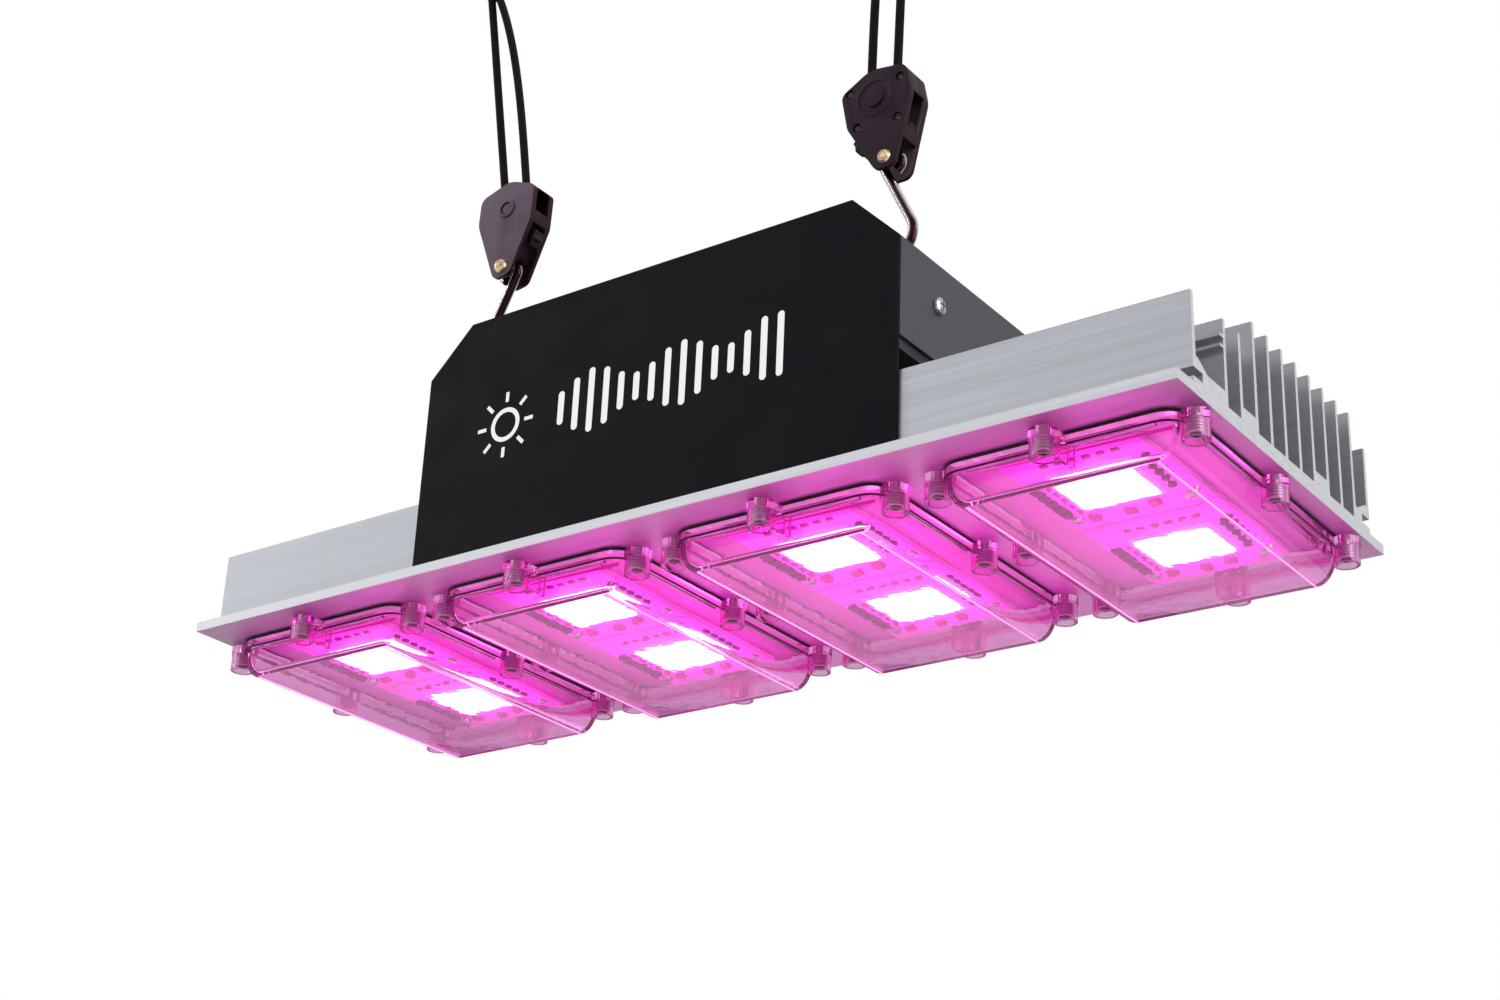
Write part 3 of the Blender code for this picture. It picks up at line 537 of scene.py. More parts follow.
def clear_plastic(name, painted_pink_tinge, painted_glow_colour, painted_glow_strength):
    """Polycarbonate that bends what is behind it and lets lamps through, with a painted pink tinge and a
    painted glow standing for the LEDs' light that it carries.

    A ray that has bounced more than LONG_WAY times in it gets a painted glow that stands for light trapped in
    the plastic.
    """
    mat = bpy.data.materials.new(name)
    mat.use_nodes = True
    tree = mat.node_tree
    tree.nodes.remove(tree.nodes["Principled BSDF"])
    flow = bump(mat, noise(mat, place_of(mat), 110.0, 2.0), 0.4, 0.00018)
    # Painted glow: where the surface is seen edge-on, its colour turns magenta.
    grazing = add_node(mat, "ShaderNodeLayerWeight", [("Blend", 0.5)]).outputs["Facing"]
    grazing_glow_share = spread(mat, grazing, 0.0, 1.0, 0.62, 0.98)
    shade = mix_colours(mat, grazing_glow_share, (*painted_pink_tinge, 1), (0.62, 0.16, 0.48, 1))
    links = [("Color", shade), ("Roughness", 0.01), ("IOR", 1.46), ("Normal", flow)]
    glass = add_node(mat, "ShaderNodeBsdfGlass", links).outputs[0]
    clear = add_node(mat, "ShaderNodeBsdfTransparent", [("Color", (0.98, 0.90, 0.96, 1))]).outputs[0]
    # Painted glow: emission standing for the LEDs' light in the plastic.
    painted_glow, trapped = emission(mat, painted_glow_colour, painted_glow_strength), emission(mat, TRAPPED_LIGHT, 0.6)
    path = add_node(mat, "ShaderNodeLightPath").outputs
    through = math_node(mat, "MAXIMUM", path["Is Shadow Ray"], path["Is Diffuse Ray"])
    long_way = math_node(mat, "GREATER_THAN", path["Ray Depth"], LONG_WAY)
    glowing_glass = add_node(mat, "ShaderNodeAddShader", [(0, glass), (1, painted_glow)]).outputs[0]
    links = [(0, long_way), (1, glowing_glass), (2, trapped)]
    seen = add_node(mat, "ShaderNodeMixShader", links).outputs[0]
    mixed = add_node(mat, "ShaderNodeMixShader", [(0, through), (1, seen), (2, clear)]).outputs[0]
    tree.links.new(mixed, tree.nodes["Material Output"].inputs["Surface"])
    return mat


def board_material(name):
    """White solder mask with faint tracks, tinted pink and given a painted magenta glow round the emitter in
    its middle, both painted light.
    """
    # The pink in the board's colour is painted light from the LEDs.
    mat = textured(name, (0.80, 0.50, 0.72), 0.42, scale=900.0, vary=0.12)
    where = add_node(mat, "ShaderNodeTexCoord").outputs["Generated"]
    links = [(0, where), (1, (0.5, 0.5, 0.0))]
    offset = add_node(mat, "ShaderNodeVectorMath", links, operation="SUBTRACT").outputs[0]
    links = [(0, offset), (1, (1.0, 1.1, 0.0))]
    flat = add_node(mat, "ShaderNodeVectorMath", links, operation="MULTIPLY").outputs[0]
    away = add_node(mat, "ShaderNodeVectorMath", [(0, flat)], operation="LENGTH").outputs["Value"]
    # Painted glow: emission strongest round the emitter, standing for the LEDs' light on the board.
    glow = spread(mat, away, 1.15, 0.16, 0.22, 0.62)
    near = spread(mat, away, 1.0, 0.0, 0.18, 0.38)
    drive(mat, Emission_Strength=glow, Emission_Color=tint(mat, near, (1.0, 0.055, 0.80), (1.0, 0.26, 0.92)))
    return mat


def moulded(name, face, side):
    """Nylon with a satin sparked face, and smooth sides painted darker as painted shade."""
    mat = textured(name, face, 0.46, depth=0.00006, vary=0.14, Specular_IOR_Level=0.25)
    cloud = spread(mat, noise(mat, place_of(mat), 55.0), 0.0, 1.0)
    # Painted shade: surfaces that don't face along Y get the darker side colour.
    normal = add_node(mat, "ShaderNodeNewGeometry").outputs["True Normal"]
    facing = math_node(mat, "ABSOLUTE", add_node(mat, "ShaderNodeSeparateXYZ", [(0, normal)]).outputs["Y"])
    flat = spread(mat, facing, 0.0, 1.0, 0.45, 0.9)
    face_colour = tint(mat, cloud, [c * 0.86 for c in face], [c * 1.14 for c in face])
    drive(mat, Base_Color=mix_colours(mat, flat, (*side, 1.0), face_colour))
    return mat


def polished_wire(name, dark, bright):
    """Dark plated wire with a pale band painted into its colour near its edges: a painted reflection of the
    pale surroundings.
    """
    mat = textured(name, dark, 0.13, 1.0, scale=600.0, depth=0.000002, vary=0.1)
    # Painted reflection: the colour turns pale where the surface turns away from view.
    facing = add_node(mat, "ShaderNodeLayerWeight", [("Blend", 0.5)]).outputs["Facing"]
    edge = spread(mat, facing, 0.0, 1.0, 0.26, 0.5)
    drive(mat, Base_Color=mix_colours(mat, edge, (*dark, 1.0), (*bright, 1.0)))
    return mat


def glowing(name, colour, strength):
    mat = material(name, (0.9, 0.8, 0.6), 0.4)
    where = place_of(mat)
    speckle = spread(mat, noise(mat, where, 700.0, 2.0), strength * 0.9, strength * 1.1)
    mat.node_tree.nodes["Principled BSDF"].inputs["Emission Color"].default_value = (*colour, 1.0)
    drive(mat, Emission_Strength=speckle)
    return mat


ALUMINIUM = aluminium("extruded_aluminium", (0.58, 0.595, 0.625))
# Both clear materials get a painted pink tinge and a painted glow.
CLEAR = clear_plastic("clear_polycarbonate", (0.97, 0.82, 0.94), (1.0, 0.08, 0.60), 0.04)
# Painted highlight: a clear material with a strong pale glow, for the strips along the windows' edges.
BRIGHT_EDGE = clear_plastic("painted_highlight_edge", (1.0, 0.9, 0.98), (1.0, 0.5, 0.86), 0.42)
# Painted shade: a dark colour for the strip round each flange's rim.
SHADED_EDGE = textured("shaded_edge", (0.07, 0.004, 0.045), 0.25, depth=0.00002, vary=0.2)
RUBBER = textured("gasket_rubber", (0.025, 0.022, 0.028), 0.75, scale=1800.0)
BOARD = board_material("led_board")
EMITTER = glowing("emitter", (1.0, 0.17, 0.95), 34.0)
# The emitter frames, chips and small parts are tinted magenta and given a faint glow: painted light from the
# LEDs.
CERAMIC = textured(
    "emitter_frame", (0.86, 0.72, 0.80), 0.4, scale=1500.0,
    Emission_Color=(1.0, 0.12, 0.95, 1.0), Emission_Strength=1.2,
)
CHIP = textured(
    "chip_plastic", (0.07, 0.005, 0.05), 0.5, Emission_Color=(0.30, 0.0, 0.20, 1.0), Emission_Strength=0.2,
)
PASSIVE = textured(
    "small_parts", (0.30, 0.03, 0.21), 0.45, Emission_Color=(0.5, 0.0, 0.33, 1.0), Emission_Strength=0.12,
)
BLACK_PAINT = textured(
    "black_powder_coat", (0.0050, 0.0030, 0.0065), 0.55, depth=0.00006, vary=0.2, Specular_IOR_Level=0.12,
)
# A paler copy of the black coat for the housing cover: painted light.
LIT_BLACK_COAT = textured("black_coat_painted_lighter", (0.080, 0.082, 0.100), 0.45, depth=0.00006, vary=0.1)
# The motif's print glows a little: painted light on the white ink.
WHITE_INK = textured(
    "white_ink", (0.95, 0.95, 0.96), 0.6, vary=0.02, Emission_Color=(1, 1, 1, 1), Emission_Strength=0.45,
)
GALVANISED = textured("galvanised_sheet", (0.06, 0.06, 0.065), 0.5, 0.6, scale=260.0, vary=0.2)
STEEL = textured("zinc_screw", (0.72, 0.71, 0.70), 0.25, 1.0, scale=900.0, depth=0.00001, vary=0.08)
DULL_STEEL = textured("knurled_screw", (0.42, 0.38, 0.39), 0.4, 0.7, scale=1200.0, depth=0.00001, vary=0.15)
# The ratchet cases' screws get a dark colour.
DARK_STEEL = textured("dark_case_screw", (0.10, 0.08, 0.08), 0.35, 0.9, scale=1200.0, depth=0.00001, vary=0.1)
DRIVER_CASE = textured("driver_case", (0.60, 0.61, 0.63), 0.4, 0.8, scale=900.0, stretch=(0.02, 1, 1))
TERMINAL = textured("terminal_plastic", (0.80, 0.79, 0.72), 0.5, scale=1800.0)
GLAND = textured("gland_nylon", (0.022, 0.022, 0.024), 0.5, scale=1800.0)
# One nylon in two copies: paler for the front cases as painted light, darker for the back cases as painted
# shade.
LIT_NYLON = moulded("nylon_painted_lit", (0.200, 0.142, 0.190), (0.030, 0.005, 0.011))
SHADED_NYLON = moulded("nylon_painted_shaded", (0.026, 0.004, 0.022), (0.024, 0.005, 0.010))
DARK_NYLON = textured("sheave_nylon", (0.016, 0.006, 0.009), 0.45, scale=1600.0, Specular_IOR_Level=0.3)
BRASS = textured("brass", (0.86, 0.64, 0.40), 0.3, 1.0, scale=300.0, depth=0.000001, vary=0.05)
HOOK_STEEL = polished_wire("hook_steel", (0.045, 0.016, 0.022), (0.90, 0.84, 0.85))
BRAID = textured("rope_braid", (0.010, 0.004, 0.006), 0.7, depth=0.0001, vary=0.3, Specular_IOR_Level=0.15)


# ---------------------------------------------------------------- ropes


def hanger_place(side, half_turns, lean):
    """A hanger's coordinates in the frame, from its rivet."""
    rivet = Vector(JOINTS[f"{side}_ratchet_swing"]["pos_m"])
    hook = Matrix.Translation(rivet) @ Matrix.Rotation(math.pi * half_turns, 4, "Z") @ Matrix.Scale(MM, 4)
    return hook, hook @ Matrix.Rotation(math.radians(lean), 4, "Y")


def rope_place(ratchet):
    mouth = Matrix.Translation((AXLE[0] - STRAND, 0, ROPE_MOUTH + GAP))
    return ratchet @ mouth @ Matrix.Rotation(ROPE_LEAN, 4, "Y")


def loop_centre(free):
    """The middle of the rope's loop, in the rope's coordinates, and how far below level its neck begins."""
    half = ROPE_R + GAP / 2
    across = half + LOOP_NECK_R
    rise = math.sqrt((LOOP_R + LOOP_NECK_R) ** 2 - across ** 2)
    return (half, free + FERRULE_LONG + rise), math.degrees(math.atan2(rise, across))


def load_route(free):
    """The load strand: up through the ferrule, over the hook's eye and back into the ferrule."""
    centre, below = loop_centre(free)
    top = free + FERRULE_LONG
    far = 2 * centre[0]
    line = [(0, free * i / 14) for i in range(15)]
    line += arc((-LOOP_NECK_R, top), LOOP_NECK_R, 0, below, 4)
    line += arc(centre, LOOP_R, 180 + below, -below, 12)[1:]
    line += arc((far + LOOP_NECK_R, top), LOOP_NECK_R, 180 - below, 180, 4)[1:]
    line += [(far, free + 1.5)]
    return [Vector((x, 0, z)) for x, z in line]


def tail_route(free):
    """The free strand: beside the load strand, then drawn in to its knot."""
    start = (2 * STRAND, 0)
    end = (2 * ROPE_R + 0.7, free - HITCH_DROP - GAP)
    pulls = ((start[0] + 0.6, 0.35 * end[1]), (start[0] + 0.9, 0.71 * end[1]))
    return [Vector((x, 0, z)) for x, z in [start] + curve_between(start, *pulls, end, 14)]


def hitch_route(free):
    """The knot: the tail's end wound round both strands, with its tip left standing."""
    low, rise = free - HITCH_DROP + ROPE_R + 0.2, 9.2
    centre_x = 1.4
    across, deep = 4.6, 2.0 * ROPE_R + 0.35
    turns, steps = 2.75, 44
    made = []
    for i in range(steps + 1):
        angle = math.tau * turns * i / steps
        x = centre_x + across * math.cos(angle) * 0.82
        made.append(Vector((x, deep * math.sin(angle), low + rise * i / steps)))
    return made


def ropes_and_top(side, half_turns, lean, free):
    """One hanger's two free strands with what is on their ends."""
    body = f"{side}_ratchet"
    place = rope_place(hanger_place(side, half_turns, lean)[1])
    middle = ROPE_R + GAP / 2

    def stadium(half, radius):
        return arc((middle + half, 0), radius, -90, 90, 10) + arc((middle - half, 0), radius, 90, 270, 10)

    sleeve = plate(f"{side}_ferrule_sleeve", stadium(middle, ROPE_R + 1.3), free, free + FERRULE_LONG, "Z")
    cut(sleeve, plate("sleeve_hole", stadium(middle, ROPE_R + GAP), free - 1, free + FERRULE_LONG + 1, "Z"))
    dents = []
    for i in range(3):
        for face in (-1, 1):
            spot = (0, face * (ROPE_R + 1.9), free + 2.4 + 2.6 * i)
            dents.append(round_bar("dent", 1.1, -6, 10, "X", spot, 12))
    cut(sleeve, *dents)
    show(sleeve, STEEL, body, place, bevel=0.25)
    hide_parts(f"{side}_rope_ferrule")

    knot = show(rope(f"{side}_tail_knot", hitch_route(free)), BRAID, body, place, smooth=60)
    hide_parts(f"{side}_tail_hitch")

    centre = loop_centre(free)[0]
    pin_z = centre[1] + LOOP_R - ROPE_R - GAP - WIRE_R
    eye = arc((0, TOP_EYE_R), TOP_EYE_R, 100, 360, 14)
    bowl_z = TOP_EYE_R + TOP_NECK
    pulls = ((TOP_EYE_R, TOP_EYE_R + 6), (TOP_BOWL_R, bowl_z - 6))
    neck = curve_between(eye[-1], *pulls, (TOP_BOWL_R, bowl_z), 4)
    bowl = arc((0, bowl_z), TOP_BOWL_R, 0, 205, 14)[1:]
    line = [Vector((0, y, z)) for y, z in eye + neck + bowl]
    top = wire(f"{side}_top_wire", line)
    show(top, HOOK_STEEL, f"{side}_top_hook", place @ Matrix.Translation((centre[0], 0, pin_z)), smooth=60)
    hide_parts(f"{side}_top_hook")

    strands = (
        ("load", load_route(free), "fitting", [sleeve, top]),
        ("tail", tail_route(free), "knot", [knot]),
    )
    for kind, route, far_end, ends in strands:
        piece = show(rope(f"{side}_{kind}_strand", route), BRAID, body, place, smooth=60)
        path = [place @ point for point in evenly_spaced(route, 2.0)]
        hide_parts(f"{side}_{kind}_rope")


# ---------------------------------------------------------------- ratchets and lower hooks


def ratchet_outline(inset=0.0):
    """The ratchet seen from its front: narrow at the rivet, with a lower shoulder on the lever's side."""
    corners = (
        (-5.4, -5.6, 4.5),
        (4.6, -5.6, 4.5),
        (19.6, 20.0, 8.0),
        (23.2, 38.5, 4.0),
        (8.0, 47.2, 12.0),
        (-10.5, 44.5, 5.0),
        (-13.4, 30.0, 12.0),
    )
    middle = Vector((3.0, 24.0))
    made = []
    for i, (x, z, radius) in enumerate(corners):
        here = Vector((x, z))
        before = (Vector(corners[i - 1][:2]) - here).normalized()
        after = (Vector(corners[(i + 1) % len(corners)][:2]) - here).normalized()
        inward = (before + after).normalized()
        if inward.dot(middle - here) < 0:
            inward = -inward
        moved = here + inward * inset / math.sin(before.angle(after) / 2)
        made.append((moved.x, moved.y, max(radius - inset, 1.0)))
    return rounded(made, 6)


def ratchet_shell(name, side):
    """One half of the ratchet's case; side is -1 for the front and 1 for the back."""
    joint = side * GAP / 2
    face = side * RATCHET_HALF
    inner = side * (RATCHET_HALF - PLATE)
    depth = RATCHET_HALF - PLATE
    shell = plate(name, ratchet_outline(), *sorted((face, joint)), "Y")
    cutters = [plate("hollow", ratchet_outline(1.8), *sorted((inner, joint - side * 3)), "Y")]
    for sign in (-1, 1):
        cutters.append(round_bar("mouth", ROPE_R + 0.7, 36, 60, "Z", (AXLE[0] + sign * STRAND, 0, 0), 20))
    cutters += [
        box("upper_window", (16.0, -depth + 1, 25.5), (30.0, depth - 1, 38.0)),
        box("lever_window", (5.0, -depth + 1, 5.0), (30.0, depth - 1, 19.0)),
        box("left_window", (-30.0, -depth + 1, 14.0), (-9.0, depth - 1, 31.0)),
        box("foot", (-30.0, -depth, -30.0), (30.0, depth, 8.5)),
    ]
    cut(shell, *cutters)

    def raised(name, inner, outer, height):
        """A ring or cap round the axle that stands out of the shell's face."""
        edge, root = face + side * height, face - side * 0.2
        soft = edge - side * 0.3
        profile = [(inner, root), (inner, edge), (outer - 0.3, edge), (outer, soft), (outer, root)]
        return turned(name, profile, "Y", (AXLE[0], 0, AXLE[1]), 40)

    if side < 0:
        extras = [raised("axle_ring", 3.5, 4.9, 0.9), raised("axle_centre", 0.0, 3.0, 0.3)]
    else:
        extras = [raised("axle_cap", 0.0, 4.7, 1.1), raised("bearing_arc", 8.6, 9.4, 0.35)]
    join(shell, *extras)
    if side > 0:
        wells = []
        for x, z in SHELL_SCREWS:
            profile = [(0, face + 2), (2.2, face + 2), (2.2, face - 1.1), (0, face - 1.1)]
            wells.append(turned("well", profile, "Y", (x, 0, z), 16))
        cut(shell, *wells)
    return shell


def ratchet(side, half_turns, lean):
    """The case, its rivets and screws, the rope round its wheel, a thumb pad on the lever and the lower hook.
    """
    body = f"{side}_ratchet"
    hook_place, place = hanger_place(side, half_turns, lean)
    for name, sign in (("front", -1), ("back", 1)):
        # Front cases in the painted-light copy of the nylon, back cases in the painted-shade copy.
        paint = LIT_NYLON if name == "front" else SHADED_NYLON
        shell = show(ratchet_shell(f"{side}_{name}_case", sign), paint, body, place, bevel=0.45)
        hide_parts(f"{side}_ratchet_{name}_shell")

    face = RATCHET_HALF + 0.1
    head = arc((0, -face + 0.6), 3.9, -90, -12, 12) + [(3.8, -face), (0, -face)]
    rivet = turned(f"{side}_rivet_head", head, "Y", (0, 0, 0), 40)
    show(rivet, BRASS, body, place)
    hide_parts(f"{side}_ratchet_rivet")
    tail = [(0, face), (3.4, face), (2.6, face + 1.1), (1.5, face + 0.7), (1.2, face + 1.1), (0, face + 1.1)]
    show(turned(f"{side}_rivet_tail", tail, "Y", (0, 0, 0), 28), BRASS, body, place)

    screws = []
    for x, z in SHELL_SCREWS:
        low = RATCHET_HALF - 1.1
        screw = turned("screw", [(0, low), (1.7, low), (1.2, low + 0.5), (0, low + 0.6)], "Y", (x, 0, z), 16)
        slots = []
        for wide, high in ((1.0, 0.22), (0.22, 1.0)):
            slots.append(box("slot", (x - wide, low + 0.25, z - high), (x + wide, low + 1, z + high)))
        screws.append(cut(screw, *slots))
    show(merged(f"{side}_case_screws", screws), DARK_STEEL, body, place)

    inside = [Vector((AXLE[0] - STRAND, 0, ROPE_MOUTH)), Vector((AXLE[0] - STRAND, 0, AXLE[1] + 6))]
    inside += [Vector((x, 0, z)) for x, z in arc(AXLE, STRAND, 180, 360, 12)]
    inside += [Vector((AXLE[0] + STRAND, 0, AXLE[1] + 6)), Vector((AXLE[0] + STRAND, 0, ROPE_MOUTH))]
    bight = show(rope(f"{side}_inner_rope", inside), BRAID, body, place, smooth=60)
    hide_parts(f"{side}_rope_bight")

    tab = box(f"{side}_thumb_pad", (14.4, -3.2, 10.4), (18.4, 3.2, 15.8))
    show(tab, DARK_NYLON, f"{side}_lever", place, bevel=1.1, segments=3)

    lean_angle = -ROD_LEAN
    eye = arc((0, 0), EYE_R, 239, lean_angle, 18)
    bowl = arc(HOOK_BOWL, HOOK_BOWL_R, 180 + lean_angle, 298, 18)
    rod = [tuple(Vector(eye[-1]).lerp(Vector(bowl[0]), t)) for t in (0.25, 0.5, 0.75)]
    lower = wire(f"{side}_lower_wire", [Vector((x, 0, z)) for x, z in eye + rod + bowl], WIRE_R + 0.3)
    show(lower, HOOK_STEEL, f"{side}_hook", hook_place, smooth=60)
    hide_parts(f"{side}_hook")


# ---------------------------------------------------------------- lens modules


def module_places():
    return [LENGTH / 2 + (i - (MODULES - 1) / 2) * MODULE_PITCH for i in range(MODULES)]


def boss_places():
    """Screw boss centres of one module, measured from the module's centre."""
    sides = [(sx * SIDE_BOSS[0], y) for sx in (-1, 1) for y in (-SIDE_BOSS[1], 0.0, SIDE_BOSS[1])]
    return sides + [(0.0, -END_BOSS_Y), (0.0, END_BOSS_Y)]


def dome_shape(name, half_y, shrink, foot, top, rounding):
    """The lens tunnel: quarter-round sides, a flat window and ends with rounded edges."""
    window = WINDOW_Z + shrink
    half = WINDOW_HALF - shrink * 0.2
    reach = DOME_FOOT - shrink - half
    drop = foot - window
    angles = [math.radians(9 * i) for i in range(11)]
    side = [(half + reach * math.cos(a), foot - drop * math.sin(a)) for a in angles]
    outline = [(half + reach, top)] + side
    outline += [(-x, z) for x, z in reversed(outline)]
    dome = plate(name, outline, -half_y, half_y, "Y")
    edges = dome.modifiers.new("ends", "BEVEL")
    edges.width = rounding
    edges.segments = 4
    edges.limit_method = "ANGLE"
    edges.angle_limit = math.radians(60)
    edges.use_clamp_overlap = False
    apply_modifiers(dome)
    return dome


def lens_shape():
    """One clear cover, centred on its module: flange, beads, dome, hollow screw bosses and gussets."""
    lens = plate("lens", rectangle(FLANGE_X / 2, FLANGE_Y / 2, 10.0), FLANGE_LOW, FLANGE_TOP, "Z")
    added, wells = [], []
    for x, y in boss_places():
        added.append(round_bar("ear", 6.0, FLANGE_LOW, FLANGE_TOP, "Z", (x, y, 0), 28))
        added.append(round_bar("boss", BOSS_R, BOSS_LOW, FLANGE_LOW + 1, "Z", (x, y, 0), 28))
        if x == 0:
            inner = math.copysign(FLANGE_Y / 2 - 2, y)
            near, far = sorted((y, inner))
            added.append(box("neck", (-6.0, near, FLANGE_LOW), (6.0, far, FLANGE_TOP)))
            wall = math.copysign(DOME_Y / 2 - 1, y)
            near, far = sorted((math.copysign(abs(y) - BOSS_R + 1, y), wall))
            for rib in (-3.6, 3.6):
                added.append(box("gusset", (rib - 0.8, near, BOSS_LOW + 1), (rib + 0.8, far, FLANGE_LOW + 1)))
            near, far = sorted((wall, wall + math.copysign(2.2, y)))
            for rib in (-6.4, 6.4):
                added.append(box("rib", (rib - 0.9, near, BOSS_LOW - 1), (rib + 0.9, far, FLANGE_LOW + 1)))
        wells.append(round_bar("well", WELL_R, BOSS_LOW - 1, WELL_TOP, "Z", (x, y, 0), 24))
        wells.append(round_bar("hole", 2.0, WELL_TOP - 1, FLANGE_TOP + 1, "Z", (x, y, 0), 16))
    inset, bead_z = 1.4, FLANGE_LOW + 0.2
    for sign in (-1, 1):
        for low, high in ((-61.0, -8.0), (8.0, 61.0)):
            spot = (sign * (FLANGE_X / 2 - inset), 0, bead_z)
            added.append(round_bar("side_bead", 1.5, low, high, "Y", spot, 16))
        for low, high in ((-43.0, -8.0), (8.0, 43.0)):
            spot = (0, sign * (FLANGE_Y / 2 - inset), bead_z)
            added.append(round_bar("end_bead", 1.3, low, high, "X", spot, 16))
    dome = dome_shape("dome", DOME_Y / 2, 0.0, FLANGE_LOW + 1, FLANGE_TOP + 8, END_ROUNDING)
    cut(dome, box("above", (-60, -80, FLANGE_TOP - 0.2), (60, 80, FLANGE_TOP + 20)))
    join(lens, dome, *added)
    hollow = dome_shape("hollow", DOME_Y / 2 - LENS_WALL, LENS_WALL, FLANGE_LOW, FLANGE_TOP + 8, 0.8)
    cut(lens, hollow, *wells)
    return lens


def screw_shape(x, y):
    """A tall knurled socket-head screw that nearly fills its boss."""
    low = WELL_TOP - 5.6
    head = [(0, -0.4), (1.7, -0.4), (1.7, WELL_TOP - 0.1), (3.7, WELL_TOP - 0.1)]
    for i in range(4):
        top = WELL_TOP - 0.5 - 1.3 * i
        head += [(3.7, top), (3.35, top - 0.2), (3.35, top - 0.55), (3.7, top - 0.75)]
    head += [(3.7, low), (0, low)]
    screw = turned("screw", head, "Z", (x, y, 0), 24)
    socket = [(0, low + 2.8), (2.8, low + 2.8), (2.8, low - 1), (0, low - 1)]
    return cut(screw, turned("socket", socket, "Z", (x, y, 0), 6))


def copies(source, name, body, xs):
    """One finished piece and its copies along the fixture, which share its mesh."""
    made = [source]
    source.name = f"{name}_1"
    for i, x in enumerate(xs[1:]):
        twin = bpy.data.objects.new(f"{name}_{i + 2}", source.data)
        bpy.context.scene.collection.objects.link(twin)
        twin.location = ((x - xs[0]) * MM, 0, 0)
        made.append(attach(twin, body))
    return made


def lens_modules():
    """The covers with their screws, and thin strips where a clear edge looks bright or dark: a painted
    highlight along each window's edges, painted shade round each flange's rim, and dark discs of painted
    shade in the screws' sockets.
    """
    xs = module_places()
    first = FIXTURE @ Matrix.Translation((xs[0], CENTRE_Y, 0))
    lens = show(lens_shape(), CLEAR, "fixture", first, smooth=25, bevel=0.5)
    for i, piece in enumerate(copies(lens, "clear_cover", "fixture", xs)):
        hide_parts(f"lens_cover_{i + 1}")
    screws = merged("screws", [screw_shape(x, y) for x, y in boss_places()])
    screws = show(screws, DULL_STEEL, "fixture", first)
    for piece in copies(screws, "cover_screws", "fixture", xs):
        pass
    # Dark discs deep in the screws' sockets: painted shade.
    depth = WELL_TOP - 5.1
    shade_discs = [round_bar("hollow", 2.7, depth, depth + 0.6, "Z", (x, y, 0), 20) for x, y in boss_places()]
    sockets = show(merged("sockets", shade_discs), RUBBER, "fixture", first)
    for piece in copies(sockets, "painted_socket_shade", "fixture", xs):
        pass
    # Thin glowing strips along each window's long edges: a painted highlight.
    edges = []
    for sign in (-1, 1):
        half = DOME_Y / 2 - END_ROUNDING
        spot = (sign * (WINDOW_HALF - 0.2), 0, WINDOW_Z - 0.12)
        edges.append(round_bar("window_edge", 0.45, -half, half, "Y", spot, 10))
    edges = show(merged("edges", edges), BRIGHT_EDGE, "fixture", first)
    for piece in copies(edges, "window_edge_highlights", "fixture", xs):
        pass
    # A dark strip round each flange's rim: painted shade.
    outer = rectangle(FLANGE_X / 2 + 0.15, FLANGE_Y / 2 + 0.15, 10.0)
    inner = rectangle(FLANGE_X / 2 - 0.5, FLANGE_Y / 2 - 0.5, 9.4)
    low, high = FLANGE_LOW - 0.15, FLANGE_LOW + 0.6
    rim = cut(plate("rim", outer, low, high, "Z"), plate("inside", inner, low - 1, high + 1, "Z"))
    rim = show(rim, SHADED_EDGE, "fixture", first)
    for piece in copies(rim, "flange_rim_shade", "fixture", xs):
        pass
    board_parts(first, xs)


def chips(centre_y):
    """One board's dark chips and its small parts, as two meshes, round the emitter at centre_y."""
    face = BOARD_FACE
    dark = []
    for i in range(5):
        y = centre_y - 12 + 6.2 * i
        dark.append(box("driver_chip", (-28.0, y, face - 1.7), (-24.2, y + 5.0, face)))
        z_low = face - 1.6
        disc = [(0, face), (1.9, face), (1.9, z_low + 0.3), (1.6, z_low), (0, z_low)]
        dark.append(turned("can", disc, "Z", (25.0 - 0.3 * i, centre_y - 15 + 6.2 * i, 0), 18))
    small = []
    for i in range(5):
        y = centre_y - 11 + 6.5 * i
        small.append(box("resistor", (-21.5, y, face - 0.9), (-19.8, y + 3.2, face)))
    for i in range(6):
        x = -15 + 6.2 * i
        small.append(box("resistor", (x, centre_y - 26.5, face - 0.9), (x + 3.2, centre_y - 24.8, face)))
    for x, y in ((8.0, 20.5), (-4.0, 22.5), (-19.5, 21.5)):
        small.append(box("inductor", (x, centre_y + y, face - 1.8), (x + 4.5, centre_y + y + 4.0, face)))
    return dark, small


